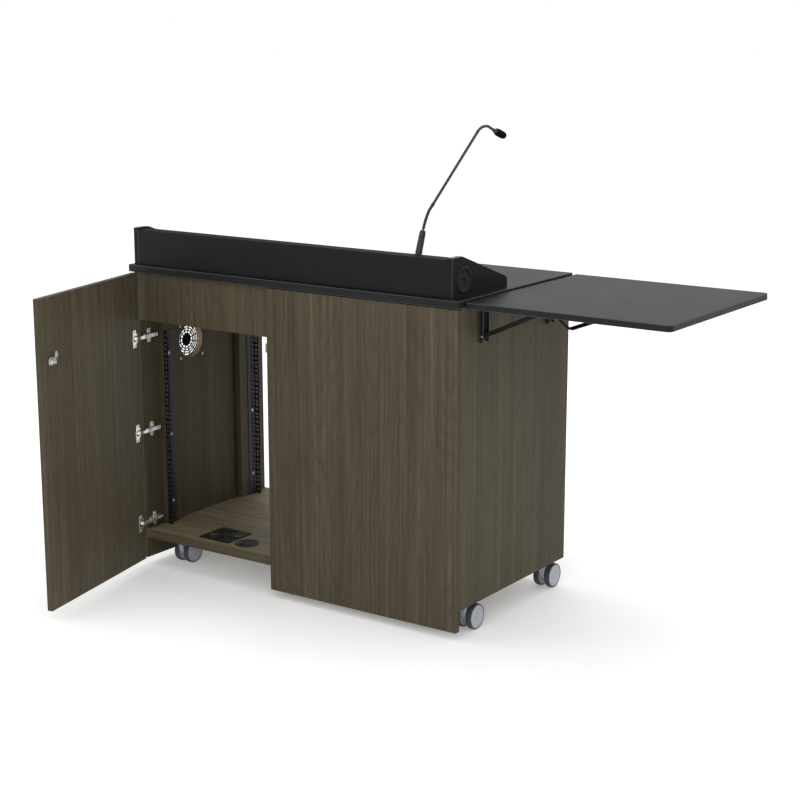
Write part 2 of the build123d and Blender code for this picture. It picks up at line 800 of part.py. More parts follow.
def caster_housing(x, y):
    axle_y = y + caster_off
    shoulder_z = base_z - 7.5
    boss_z0, boss_z1 = 78.0, base_z - 6.5
    with BuildPart() as piece:
        with BuildSketch(Plane.YZ.offset(x - housing_w / 2)):
            with BuildLine():
                Polyline((y - 15, shoulder_z), (y - 17, 58), (y - 4, 30), (axle_y - 4, 21),
                         (axle_y + 14, 26), (axle_y + 22, 40), (axle_y + 16, 60),
                         (y + 16, shoulder_z), close=True)
            make_face()
        extrude(amount=housing_w)
        fillet(piece.edges().filter_by(Axis.X), 4)
        with BuildSketch(Plane.XY.offset(boss_z0)):
            circles_at(15, (x, y))
        extrude(amount=boss_z1 - boss_z0)
        # stem socket and axle bore
        with BuildSketch(Plane.XY.offset(boss_z1)):
            circles_at(stem_r + run_gap, (x, y))
        extrude(amount=-15.5, mode=Mode.SUBTRACT)
        with BuildSketch(Plane.YZ.offset(x - housing_w / 2 - 0.5)):
            circles_at(axle_r + run_gap, (axle_y, wheel_r))
        extrude(amount=housing_w + 1, mode=Mode.SUBTRACT)
    return piece.part


def caster_axle(x, y):
    half_len = wheel_out - 2
    with BuildPart() as piece:
        with BuildSketch(Plane.YZ.offset(x - half_len)):
            circles_at(axle_r, (y + caster_off, wheel_r))
        extrude(amount=2 * half_len)
    return piece.part


def wheel_plane(x, y, side, across):
    """Plane on the axle of the caster at x, y, facing outward on the given side."""
    return side_plane(x + side * across, y + caster_off, wheel_r, side)


def caster_hubs(x, y):
    with BuildPart() as piece:
        for side in (-1, 1):
            with BuildSketch(wheel_plane(x, y, side, wheel_in)):
                Circle(hub_r)
                Circle(axle_r, mode=Mode.SUBTRACT)
            extrude(amount=hub_out - wheel_in)
            # ring recess in the outer face, round a raised centre cap
            with BuildSketch(wheel_plane(x, y, side, hub_out)):
                Circle(hub_r - 3)
                Circle(cap_r, mode=Mode.SUBTRACT)
            extrude(amount=-1.6, mode=Mode.SUBTRACT)
            with BuildSketch(wheel_plane(x, y, side, hub_out - 1)):
                Circle(cap_r)
            extrude(amount=1.6)
    return piece.part


def caster_tyres(x, y):
    with BuildPart() as piece:
        for side in (-1, 1):
            with BuildSketch(wheel_plane(x, y, side, wheel_in)):
                Circle(wheel_r)
                Circle(hub_r, mode=Mode.SUBTRACT)
            extrude(amount=wheel_out - wheel_in)
        fillet(piece.edges().filter_by(GeomType.CIRCLE).filter_by(
            lambda edge: abs(edge.radius - wheel_r) < 0.01), 2.8)
    return piece.part


# Microphone, standing square on the reading board
mic_x, mic_y = 420.4, -234.0
mic_z = reading_z - (mic_y - reading_y) * tan(slope)
mic_foot = Vector(mic_x, mic_y, mic_z)
mic_dir = Vector(0, sin(slope), cos(slope))
mic_plane = Plane(origin=mic_foot, x_dir=(1, 0, 0), z_dir=mic_dir)
flange_t, holder_len = 3, 73.0
neck_r = 3.6
neck_start = mic_foot + mic_dir * (flange_t + holder_len + 4.0)
# straight run of the gooseneck, from low to high
neck_low, neck_high = Vector(mic_x, -160.3, 1216.6), Vector(mic_x, 72.5, 1406.3)
mic_head = Vector(mic_x, 160.7, 1406.1)
head_dir = Vector(0, 65.0, -22.3)

# holder half outline: radius, height above the flange
holder_outline = [(0, 0), (9.5, 0), (9.5, 6), (8.6, 10), (8.2, 52), (7.8, 62), (6.5, 69),
                  (3.9, holder_len), (0, holder_len)]


def mic_base_flange():
    with BuildPart() as piece:
        with BuildSketch(mic_plane):
            Circle(16)
        extrude(amount=flange_t)
        chamfer(piece.edges().filter_by(GeomType.CIRCLE).sort_by(Axis.Z)[-1], 1.0)
    return piece.part


def mic_holder():
    half_plane = Plane(origin=mic_plane.offset(flange_t).origin, x_dir=(1, 0, 0),
                       z_dir=(0, -cos(slope), sin(slope)))
    with BuildPart() as piece:
        with BuildSketch(half_plane):
            with BuildLine():
                Polyline(*holder_outline, close=True)
            make_face()
        revolve(axis=Axis(mic_foot, mic_dir))
    return piece.part


def gooseneck():
    straight = neck_high - neck_low
    with BuildPart() as piece:
        with BuildLine():
            Spline(neck_start, (mic_x, -181.9, 1198.1), neck_low, tangents=[mic_dir, straight])
            Line(neck_low, neck_high)
            Spline(neck_high, (mic_x, 92.0, 1416.8), (mic_x, 119.3, 1420.1), mic_head,
                   tangents=[straight, head_dir])
        with BuildSketch(Plane(origin=neck_start, z_dir=mic_dir)):
            Circle(neck_r)
        sweep()
        with Locations(neck_start):
            Sphere(neck_r + 0.2)
    return piece.part


def mic_windscreen():
    axis_dir = head_dir.normalized()
    start, end = 0.5, 68.5          # along the axis from the end of the gooseneck
    with BuildPart() as piece:
        with BuildSketch(Plane(origin=mic_head, x_dir=axis_dir, z_dir=(1, 0, 0))):
            with BuildLine():
                Polyline((start, 0), (start, 5.5), (13.5, 7.0))
                Spline((13.5, 7.0), (17, 10.0), (30, 11.4), (55, 10.6), (end, 0),
                       tangents=[(0.35, 1), (0, -1)])
                Line((end, 0), (start, 0))
            make_face()
        revolve(axis=Axis(mic_head, axis_dir))
    return piece.part


# Pan-head screws of the cabinet
rail_screw_zs = [682.0, 423.0, 191.0]       # each goes to the nearest rail hole

# head radius, head height, shank radius, shank length
hinge_screw = (3.8, 2.2, 2.1, hinge_plate_t)
rail_screw = (5.0, 2.4, 3.2, rail_t)
wall_vent_screw = (4.2, 2.2, 2.0, board + 2.0)
floor_vent_screw = (3.0, 1.6, 1.4, grille_t)
leg_screw = (4.2, 2.0, 2.2, leg_t)
caster_screw = (4.2, 2.2, 2.2, plate_t)


def square_corners(pitch):
    half = pitch / 2
    return [(-half, -half), (-half, half), (half, -half), (half, half)]


def screw_places():
    """List of (plane under the head, screw size)."""
    places = []
    for z in hinge_heights:
        for screw_z in (z - hinge_screw_pitch / 2, z + hinge_screw_pitch / 2):
            places.append((side_plane(hinge_arm_x, hinge_plate_y, screw_z), hinge_screw))
    for x_out, x_sign, y_face, y_sign in rails:
        for z in rail_screw_zs:
            hole_z = min(hole_zs, key=lambda height: abs(height - z))
            places.append((side_plane(x_out + x_sign * rail_t, y_face + y_sign * rail_side_hole,
                                      hole_z, x_sign), rail_screw))
    for dy, dz in square_corners(fan_pitch):
        places.append((side_plane(-in_x, wall_vent_y + dy, wall_vent_z + dz), wall_vent_screw))
    for dx, dy in square_corners(fan_pitch):
        places.append((Plane(origin=(floor_vent_x + dx, floor_vent_y + dy, floor_z + grille_t),
                             x_dir=(1, 0, 0), z_dir=(0, 0, 1)), floor_vent_screw))
    for y in bracket_ys:
        for z in leg_screw_zs:
            places.append((side_plane(half_w + leg_t, y, z), leg_screw))
    for x, y in casters.values():
        for dx, dy in square_corners(plate_pitch):
            places.append((Plane(origin=(min(x, plate_x_max) + dx, y + dy, plate_under),
                                 x_dir=(1, 0, 0), z_dir=(0, 0, -1)), caster_screw))
    return places


def pan_head_screws():
    with BuildPart() as piece:
        for seat, (head_r, head_h, shank_r, shank_len) in screw_places():
            with BuildSketch(seat):
                Circle(head_r)
            extrude(amount=head_h, taper=12)
            with BuildSketch(seat):
                Circle(shank_r)
            extrude(amount=-shank_len)
    return piece.part


# Build and save; each file takes the name of its function
os.makedirs("parts", exist_ok=True)

for build in (
        worktop, left_side_panel, right_side_panel, centre_divider, bottom_panel,
        front_header_rail, rear_top_rail, right_front_panel, adjustable_shelf, shelf_pins,
        riser_front_panel, riser_top_cap, reading_board, reading_ledge,
        cable_grommet_rings, cable_grommet_inserts, floor_grommet_cap,
        floor_vent_grille, wall_vent_guard, rack_cleats, rack_rails,
        hinge_mounting_plates, hinge_arms, lock_keeper,
        left_door_panel, hinge_cups, lock_body, lock_plug, lock_cam,
        side_shelf, bracket_wall_legs, bracket_pivot_pins, bracket_arms, bracket_braces,
        release_lever, caster_mount_plates,
        mic_base_flange, mic_holder, gooseneck, mic_windscreen, pan_head_screws):
    save(build(), build.__name__)

save(riser_cheek(riser_l), "riser_left_cheek")
save(riser_cheek(riser_in_r), "riser_right_cheek")

for place, (caster_x, caster_y) in casters.items():
    for build in (caster_housing, caster_axle, caster_hubs, caster_tyres):
        save(build(caster_x, caster_y), f"{place}_{build.__name__}")
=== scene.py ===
"""A rolling lectern cabinet with an open left door, a side shelf and a gooseneck microphone.

Width runs along X (left is -X), the front faces -Y and Z is up from the floor at z 0.
Shapes are drawn in millimetres at their place in the frame; Piece.add turns them into metres.
"""

import functools
import itertools
import math
import bpy
import bmesh
from mathutils import Matrix, Vector


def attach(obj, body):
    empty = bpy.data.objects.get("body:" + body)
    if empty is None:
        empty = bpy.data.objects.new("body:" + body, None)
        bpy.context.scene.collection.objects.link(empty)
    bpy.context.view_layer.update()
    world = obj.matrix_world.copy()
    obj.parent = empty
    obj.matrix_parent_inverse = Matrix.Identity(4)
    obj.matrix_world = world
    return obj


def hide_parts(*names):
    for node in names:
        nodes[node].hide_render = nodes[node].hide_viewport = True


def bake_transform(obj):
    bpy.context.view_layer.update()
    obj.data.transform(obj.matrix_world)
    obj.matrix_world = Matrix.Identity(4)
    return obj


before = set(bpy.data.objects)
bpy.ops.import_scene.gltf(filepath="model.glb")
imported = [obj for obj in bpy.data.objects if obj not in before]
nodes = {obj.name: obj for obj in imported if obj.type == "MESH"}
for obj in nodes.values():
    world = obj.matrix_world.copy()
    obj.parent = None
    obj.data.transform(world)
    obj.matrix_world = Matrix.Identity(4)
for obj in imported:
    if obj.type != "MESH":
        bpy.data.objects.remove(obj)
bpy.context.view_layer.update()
scene = bpy.context.scene

# ---------------------------------------------------------------------------
# driving dimensions
# ---------------------------------------------------------------------------
TO_METRES = Matrix.Scale(0.001, 4)
BOARD = 18.0                        # thickness of the carcass boards
SIDE_X = 607.0                      # outer faces of the side boards
INNER_X = SIDE_X - BOARD
FRONT_Y, REAR_Y = -296.0, 304.0     # front and rear edges of the carcass
MID_Y = (REAR_Y + FRONT_Y) / 2
DEPTH = REAR_Y - FRONT_Y
SKIRT_Z = 24.5                      # lower edge of the left side and right front boards
BASE_Z, BASE_THICK = 93.0, 28.0
BASE_TOP = BASE_Z + BASE_THICK
CARCASS_TOP = 958.0
REAR_RAIL_Z = CARCASS_TOP - 100
WORKTOP_THICK = 22.0
WORKTOP_TOP = CARCASS_TOP + WORKTOP_THICK
DIVIDER_X = -67.0                   # left face of the centre divider
SHELF_LEFT, SHELF_RIGHT = 614.0, 1231.5
SHELF_FRONT, SHELF_REAR = -290.0, 331.5
BRACKET_YS = (-187.0, 180.0)
RACK_XS = (-570.0, -86.9)           # inner faces of the cleats
RACK_YS = (-213.0, 238.0)           # front and rear ends of the cleats

# side vent (y, z), floor vent and floor grommet (x, y)
WALL_VENT_Y, WALL_VENT_Z = -60.0, 702.0
VENT_X, VENT_Y = -333.0, -208.0
VENT_SCREW = 52.5                   # screw offset from either vent's centre
FLOOR_GROMMET_X, FLOOR_GROMMET_Y = -223.0, -233.0
CHEEK_GROMMET_Y, CHEEK_GROMMET_Z = -240.0, 1027.0
GROMMET_HOLE = 30.3

# riser
CHEEK_XS = (-599.0, 560.0)          # left faces of the two cheeks
RISER_X0, RISER_X1 = CHEEK_XS[0] + BOARD, CHEEK_XS[1]
RISER_WIDTH = RISER_X1 - RISER_X0
SLOPE_TOP, SLOPE_FOOT = (-248.6, 1093.4), (-25.2, 1014.0)   # (y, z) on the cheek
SLOPE = math.atan2(SLOPE_TOP[1] - SLOPE_FOOT[1], SLOPE_FOOT[0] - SLOPE_TOP[0])
READING_Y, READING_Z = -246.4, 1083.0   # upper edge of the reading board
READING_LENGTH = 236.0

# left door: u runs from the hinge to the free edge, v from the outer to the inner side
DOOR_OPEN = math.radians(77.5)
COS_OPEN, SIN_OPEN = math.cos(DOOR_OPEN), math.sin(DOOR_OPEN)
HINGE_X, HINGE_Y = -603.3, -319.3
HINGE_ZS = (150.0, 447.0, 750.0)
DOOR_OUTER_V = 4.8
DOOR_INNER_V = DOOR_OUTER_V + BOARD
DOOR_Z0, DOOR_Z1 = 26.0, 955.0
CUP_U, CUP_HOLE = 19.3, 17.6
LOCK_U, LOCK_Z, LOCK_HOLE = 485.3, 767.0, 8.2
MOUNT_Y = -259.0                    # centre of the hinge mounting plates
MOUNT_THICK = 2.5
ARM_X = -INNER_X + MOUNT_THICK      # foot of the hinge arms

# casters
CASTERS = {"front_left": (-508.0, -212.0), "front_right": (573.5, -212.0),
           "rear_left": (-508.0, 238.0), "rear_right": (573.5, 238.0)}
CASTER_PLATE_MAX_X = 559.5          # the right plates stop short of the side board
CASTER_TOP = 90.0
AXLE_TRAIL, AXLE_Z = 22.0, 38.0

X, Y, Z = Vector((1, 0, 0)), Vector((0, 1, 0)), Vector((0, 0, 1))
U_DIR, V_DIR = Vector((COS_OPEN, -SIN_OPEN, 0)), Vector((SIN_OPEN, COS_OPEN, 0))


# ---------------------------------------------------------------------------
# placing
# ---------------------------------------------------------------------------
def axes(origin, x, y):
    """Frame with the given x and y directions."""
    x, y = Vector(x).normalized(), Vector(y).normalized()
    matrix = Matrix((x, y, x.cross(y))).transposed().to_4x4()
    matrix.translation = Vector(origin)
    return matrix


def along(origin, z, x):
    """Frame whose z is exact and whose x is as near as can be to the one given."""
    z, x = Vector(z).normalized(), Vector(x)
    x = (x - z * x.dot(z)).normalized()
    return axes(origin, x, z.cross(x))


def on_x(x):
    """Frame at x whose local x, y, z run along world Y, Z, X."""
    return axes((x, 0, 0), Y, Z)


def shift(x=0.0, y=0.0, z=0.0):
    return Matrix.Translation((x, y, z))


def turned(at, degrees):
    return at @ Matrix.Rotation(math.radians(degrees), 4, "Z")


def door_at(u, v, z):
    return Vector((HINGE_X + u * COS_OPEN + v * SIN_OPEN, HINGE_Y - u * SIN_OPEN + v * COS_OPEN, z))


# ---------------------------------------------------------------------------
# materials
# ---------------------------------------------------------------------------
def is_socket(value):
    return hasattr(value, "is_output")


class Shader:
    """A Principled material; its methods each add one node and return its output."""

    def __init__(self, name):
        self.material = bpy.data.materials.new(name)
        self.material.use_nodes = True
        self.tree = self.material.node_tree
        self.tree.nodes.clear()
        output = self.node("OutputMaterial")
        self.bsdf = self.node("BsdfPrincipled")
        self.tree.links.new(self.bsdf.outputs[0], output.inputs[0])
        self.pos = self.node("TexCoord").outputs["Object"]

    def node(self, kind):
        return self.tree.nodes.new("ShaderNode" + kind)

    def put(self, socket, value):
        if is_socket(value):
            self.tree.links.new(value, socket)
        else:
            socket.default_value = value

    def math(self, operation, *values):
        node = self.node("Math")
        node.operation = operation
        for socket, value in zip(node.inputs, values):
            self.put(socket, value)
        return node.outputs[0]

    def mul(self, value, factor):
        return self.math("MULTIPLY", value, factor)

    def mul_add(self, value, factor, offset):
        return self.math("MULTIPLY_ADD", value, factor, offset)

    def weigh(self, first, first_share, second, second_share):
        return self.mul_add(first, first_share, self.mul(second, second_share))

    def dot(self, direction):
        node = self.node("VectorMath")
        node.operation = "DOT_PRODUCT"
        self.put(node.inputs[0], self.pos)
        node.inputs[1].default_value = tuple(direction)
        return node.outputs["Value"]

    def combine(self, x, y, z):
        node = self.node("CombineXYZ")
        for socket, value in zip(node.inputs, (x, y, z)):
            self.put(socket, value)
        return node.outputs[0]

    def noise(self, scale, detail=2.0, rough=0.5, at=None):
        node = self.node("TexNoise")
        self.put(node.inputs["Vector"], at or self.pos)
        node.inputs["Scale"].default_value = scale
        node.inputs["Detail"].default_value = detail
        node.inputs["Roughness"].default_value = rough
        return node.outputs["Fac"]

    def voronoi(self, scale):
        node = self.node("TexVoronoi")
        self.put(node.inputs["Vector"], self.pos)
        node.inputs["Scale"].default_value = scale
        return node.outputs["Distance"]

    def ramp(self, factor, *stops):
        """Colour ramp through (position, colour) stops."""
        node = self.node("ValToRGB")
        self.put(node.inputs[0], factor)
        elements = node.color_ramp.elements
        while len(elements) < len(stops):
            elements.new(0.5)
        for element, (position, color) in zip(elements, stops):
            element.position = position
            element.color = (*color, 1)
        return node.outputs[0]

    def mix(self, factor, first, second):
        node = self.node("Mix")
        node.data_type = "RGBA"
        self.put(node.inputs[0], factor)
        for index, color in ((6, first), (7, second)):
            self.put(node.inputs[index], color if is_socket(color) else (*color, 1))
        return node.outputs[2]

    def span(self, factor, low, high):
        node = self.node("MapRange")
        self.put(node.inputs[0], factor)
        node.inputs[3].default_value = low
        node.inputs[4].default_value = high
        return node.outputs[0]

    def bump(self, height, strength, distance):
        node = self.node("Bump")
        node.inputs["Strength"].default_value = strength
        node.inputs["Distance"].default_value = distance
        self.put(node.inputs["Height"], height)
        self.tree.links.new(node.outputs[0], self.bsdf.inputs["Normal"])

    def finish(self, color, rough, spec=0.5, metallic=0.0):
        for name, value in (("Base Color", color), ("Roughness", rough),
                            ("Specular IOR Level", spec), ("Metallic", metallic)):
            self.put(self.bsdf.inputs[name], value)
        return self.material


def shade(color, factor):
    return tuple(min(1.0, c * factor) for c in color)


def wood(name, across, grain, seed, tone=1.0, contrast=1.0, warm=0.0):
    """Wood laminate; tone scales its brightness and warm takes blue from the light streaks."""
    mat = Shader(name)
    u, g = mat.dot(across), mat.dot(grain)
    through = mat.dot(Vector(across).cross(Vector(grain)))
    # a slow drift bends the streaks sideways
    drift = mat.noise(1.0, at=mat.combine(mat.mul_add(u, 2.6, seed), mat.mul(g, 1.3), seed))
    u = mat.mul_add(mat.math("SUBTRACT", drift, 0.5), 0.016, u)
    layer = mat.mul_add(through, 0.6, seed)

    def streak(across_scale, grain_scale, offset, detail, rough):
        at = mat.combine(mat.mul(u, across_scale), mat.mul_add(g, grain_scale, offset + seed), layer)
        return mat.noise(1.0, detail, rough, at)

    broad = streak(across_scale=17.0, grain_scale=0.45, offset=3.0, detail=2.0, rough=0.55)
    middle = streak(across_scale=85.0, grain_scale=1.1, offset=9.0, detail=3.0, rough=0.62)
    fine = streak(across_scale=420.0, grain_scale=4.5, offset=15.0, detail=3.0, rough=0.65)
    pore = streak(across_scale=900.0, grain_scale=26.0, offset=21.0, detail=1.0, rough=0.5)
    # long flame figure: bands across the board, pulled out along the grain
    arch = streak(across_scale=5.5, grain_scale=0.9, offset=31.0, detail=1.0, rough=0.5)
    flame = mat.math("PINGPONG", mat.mul_add(arch, 26.0, 0.0), 0.5)
    lines = mat.math("POWER", mat.mul(flame, 2.0), 3.0)
    # shares of the three streak sizes, then contrast about the middle
    value = mat.mul(broad, 0.28)
    value = mat.mul_add(middle, 0.40, value)
    value = mat.mul_add(fine, 0.32, value)
    value = mat.mul_add(mat.math("SUBTRACT", value, 0.5), 1.95 * contrast, 0.5)
    color = mat.ramp(value,
                     (0.06, shade((0.034, 0.0265, 0.0155), tone)),
                     (0.36, shade((0.058, 0.0465, 0.0280), tone)),
                     (0.58, shade((0.079, 0.0650, 0.0400 - 0.004 * warm), tone)),
                     (0.95, shade((0.136, 0.111, 0.069 - 0.008 * warm), tone)))
    flame_share = mat.span(lines, low=0.0, high=0.30 * contrast)
    color = mat.mix(flame_share, color, shade((0.040, 0.031, 0.019), tone))
    tick = mat.mul(mat.ramp(pore, (0.60, (0, 0, 0)), (0.70, (1, 1, 1))), 0.42)   # dark pores
    color = mat.mix(tick, color, shade((0.024, 0.019, 0.012), tone))
    mat.bump(mat.math("SUBTRACT", fine, mat.mul(tick, 1.4)), strength=0.22, distance=0.00025)
    rough = mat.span(mat.math("ADD", fine, tick), low=0.46, high=0.62)
    return mat.finish(color, rough, spec=0.15)


def black_laminate(name, base, rough, spec):
    mat = Shader(name)
    cloud = mat.noise(9.0, detail=4.0, rough=0.6)
    grit = mat.noise(900.0, rough=0.6)
    value = mat.weigh(grit, 0.45, cloud, 0.55)
    color = mat.ramp(value, (0.25, (base * 0.72, base * 0.72, base * 0.81)),
                     (0.75, (base * 1.30, base * 1.30, base * 1.47)))
    mat.bump(grit, strength=0.10, distance=0.00015)
    return mat.finish(color, mat.span(value, low=rough - 0.06, high=rough + 0.09), spec)


def metal(name, tint, rough, wear=0.5, full=1.0):
    """Plated metal; wear darkens the smudges and full is the metallic share."""
    mat = Shader(name)
    smudge = mat.noise(60.0, detail=4.0, rough=0.6)
    fine = mat.noise(1400.0)
    value = mat.weigh(fine, 0.3, smudge, 0.7)
    color = mat.ramp(value, (0.30, shade(tint, 1 - 0.22 * wear)), (0.70, tint))
    mat.bump(fine, strength=0.06, distance=0.0001)
    rough = mat.span(value, low=rough - 0.08, high=rough + 0.12)
    return mat.finish(color, rough, metallic=full)


def coated_steel(name, base, rough, spec):
    mat = Shader(name)
    peel = mat.noise(750.0, rough=0.55)
    cloud = mat.noise(30.0, detail=3.0, rough=0.6)
    dust = mat.noise(7.0, detail=3.0, rough=0.6)
    color = mat.ramp(mat.weigh(peel, 0.4, cloud, 0.6),
                     (0.3, (base * 0.8, base * 0.8, base * 0.85)),
                     (0.7, (base * 1.35, base * 1.35, base * 1.42)))
    mat.bump(peel, strength=0.20, distance=0.0002)
    patchy = mat.math("ADD", mat.mul(dust, 0.6), mat.mul(peel, 0.4))
    return mat.finish(color, mat.span(patchy, low=rough - 0.10, high=rough + 0.12), spec)


def rail_steel(name):
    """Powder coat: near-black on faces along Y, lighter grey-blue on the others; painted shade and
    painted light picked by the face normal.
    """
    mat = Shader(name)
    peel = mat.noise(750.0, rough=0.55)
    cloud = mat.noise(30.0, detail=3.0, rough=0.6)
    value = mat.weigh(peel, 0.4, cloud, 0.6)
    # painted shade on faces along Y, painted light on the side faces
    front = mat.ramp(value, (0.3, (0.0035, 0.0035, 0.0038)), (0.7, (0.0075, 0.0075, 0.0082)))
    side = mat.ramp(value, (0.3, (0.010, 0.010, 0.013)), (0.7, (0.017, 0.017, 0.022)))
    geometry = mat.node("NewGeometry")
    parts = mat.node("SeparateXYZ")
    mat.tree.links.new(geometry.outputs["Normal"], parts.inputs[0])
    shaded_along_y = mat.math("GREATER_THAN", mat.math("ABSOLUTE", parts.outputs[1], 0.0), 0.6)
    mat.bump(peel, strength=0.20, distance=0.0002)
    return mat.finish(mat.mix(shaded_along_y, side, front), mat.span(value, low=0.36, high=0.52),
                      mat.span(shaded_along_y, low=0.30, high=0.10))


def plastic(name, tint, rough, spec, grain=1200.0, depth=0.00012):
    mat = Shader(name)
    texture = mat.noise(grain)
    cloud = mat.noise(22.0, detail=3.0, rough=0.6)
    value = mat.weigh(texture, 0.4, cloud, 0.6)
    color = mat.ramp(value, (0.28, shade(tint, 0.86)), (0.72, shade(tint, 1.10)))
    mat.bump(texture, strength=0.18, distance=depth)
    return mat.finish(color, mat.span(value, low=rough - 0.07, high=rough + 0.10), spec)


def raw_board(name):
    mat = Shader(name)
    fibre = mat.noise(420.0, detail=4.0, rough=0.7)
    chip = mat.voronoi(300.0)
    cloud = mat.noise(40.0)
    value = mat.mul_add(fibre, 0.5, mat.weigh(chip, 0.3, cloud, 0.3))
    color = mat.ramp(value, (0.25, (0.24, 0.155, 0.09)), (0.55, (0.40, 0.28, 0.175)),
                     (0.85, (0.52, 0.39, 0.27)))
    mat.bump(fibre, strength=0.5, distance=0.0004)
    return mat.finish(color, rough=0.85, spec=0.15)


def foam(name):
    mat = Shader(name)
    cell = mat.voronoi(900.0)
    fuzz = mat.noise(500.0, detail=3.0, rough=0.7)
    color = mat.ramp(mat.weigh(cell, 0.7, fuzz, 0.3),
                     (0.1, (0.0015, 0.0015, 0.0015)), (0.7, (0.0075, 0.0075, 0.008)))
    mat.bump(cell, strength=0.9, distance=0.0008)
    return mat.finish(color, rough=1.0, spec=0.02)


WOOD_DOOR = wood("wood_door", U_DIR, Z, seed=11.3, tone=1.05)
WOOD_FRONT = wood("wood_front", X, Z, seed=4.7, tone=0.89, contrast=1.15)
WOOD_HEADER = wood("wood_header", X, Z, seed=8.9, tone=0.92)
WOOD_RIGHT = wood("wood_side", Y, Z, seed=17.1, tone=0.865, warm=0.8)
WOOD_LEFT = wood("wood_side_left", Y, Z, seed=23.9, tone=0.80, contrast=0.9)
WOOD_DIVIDER = wood("wood_divider", Y, Z, seed=29.3, tone=0.84)
WOOD_BASE = wood("wood_base", Y, X, seed=31.7, tone=2.25)
WOOD_SHELF = wood("wood_shelf", Y, X, seed=37.7)
WOOD_REAR = wood("wood_rear", Z, X, seed=41.3)
WOOD_CLEAT = wood("wood_cleat", Y, Z, seed=43.1, tone=0.9)
# the edge bands share one banding; the upright copy is painted darker than the level ones, painted
# shade on upright edges
EDGE_Z = wood("edge_band_upright_shaded", X + Y, Z, seed=51.0, tone=0.84, contrast=0.7, warm=0.3)
EDGE_X = wood("edge_band_level", Z, X, seed=53.0, tone=1.08, contrast=0.7, warm=0.3)
EDGE_Y = wood("edge_band_depth", Z, Y, seed=57.0, tone=1.05, contrast=0.7, warm=0.3)
RAW_BOARD = raw_board("raw_board")
BLACK = black_laminate("black_laminate", base=0.0074, rough=0.46, spec=0.12)
BLACK_TOP = black_laminate("black_laminate_top", base=0.0084, rough=0.50, spec=0.056)
BLACK_CAP = black_laminate("black_laminate_cap", base=0.0074, rough=0.62, spec=0.03)
BLACK_EDGE = black_laminate("black_edge_band", base=0.0095, rough=0.42, spec=0.16)
# painted highlight: a pale line on the eased black edges, standing in for light caught by the arris
BLACK_PAINTED_HIGHLIGHT = black_laminate("black_edge_painted_highlight", base=0.060, rough=0.36, spec=0.4)
STEEL = coated_steel("black_powder_coat", base=0.012, rough=0.42, spec=0.35)
STEEL_BRACE = coated_steel("black_powder_coat_brace", base=0.008, rough=0.46, spec=0.14)
LEVER = coated_steel("lever_dipped_black", base=0.005, rough=0.50, spec=0.08)
# painted highlight: a pale line on the powder-coated bevels
STEEL_PAINTED_HIGHLIGHT = coated_steel("powder_coat_painted_highlight", base=0.06, rough=0.35, spec=0.6)
RAIL = rail_steel("rail_coat_painted_light_and_shade")
NICKEL = metal("nickel_plate", (0.78, 0.77, 0.75), rough=0.26, wear=1.2, full=0.92)
# painted shade: near-black metal for the floors of recesses and the hinge cups
NICKEL_PAINTED_SHADE = metal("nickel_recess_painted_shade", (0.07, 0.07, 0.07), rough=0.45)
ZINC = metal("zinc_plate", (0.66, 0.67, 0.69), rough=0.34)
BLACK_PLASTIC = plastic("black_plastic", (0.009, 0.009, 0.010), rough=0.50, spec=0.20)
FLAP_RUBBER = plastic("grommet_flap", (0.010, 0.010, 0.011), rough=0.60, spec=0.30, grain=700.0)
GUARD = coated_steel("guard_wire", base=0.0035, rough=0.60, spec=0.04)
GREY = plastic("caster_grey", (0.36, 0.39, 0.45), rough=0.42, spec=0.4)
GREY_HUB = plastic("caster_hub_grey", (0.36, 0.38, 0.42), rough=0.42, spec=0.35)
TYRE = plastic("caster_tyre", (0.056, 0.056, 0.072), rough=0.62, spec=0.25, grain=300.0,
               depth=0.0003)
MIC_BLACK = coated_steel("mic_satin_black", base=0.011, rough=0.32, spec=0.36)
NECK = coated_steel("gooseneck_black", base=0.010, rough=0.30, spec=0.38)
MIC_COLLAR = coated_steel("mic_collar_satin", base=0.024, rough=0.40, spec=0.35)
FOAM = foam("windscreen_foam")


# ---------------------------------------------------------------------------
# outlines
# ---------------------------------------------------------------------------
def rect(cx, cy, width, height, radius=0.0):
    half_w, half_h = width / 2, height / 2
    if radius <= 0:
        return [(cx - half_w, cy - half_h), (cx + half_w, cy - half_h),
                (cx + half_w, cy + half_h), (cx - half_w, cy + half_h)]
    points = []
    for quarter, (sx, sy) in enumerate(((1, -1), (1, 1), (-1, 1), (-1, -1))):
        corner_x, corner_y = cx + sx * (half_w - radius), cy + sy * (half_h - radius)
        for i in range(6):
            angle = -math.pi / 2 + quarter * math.pi / 2 + i * math.pi / 2 / 5
            points.append((corner_x + radius * math.cos(angle), corner_y + radius * math.sin(angle)))
    return points


def circle(cx, cy, radius, count=64):
    return [(cx + radius * math.cos(2 * math.pi * i / count),
             cy + radius * math.sin(2 * math.pi * i / count)) for i in range(count)]


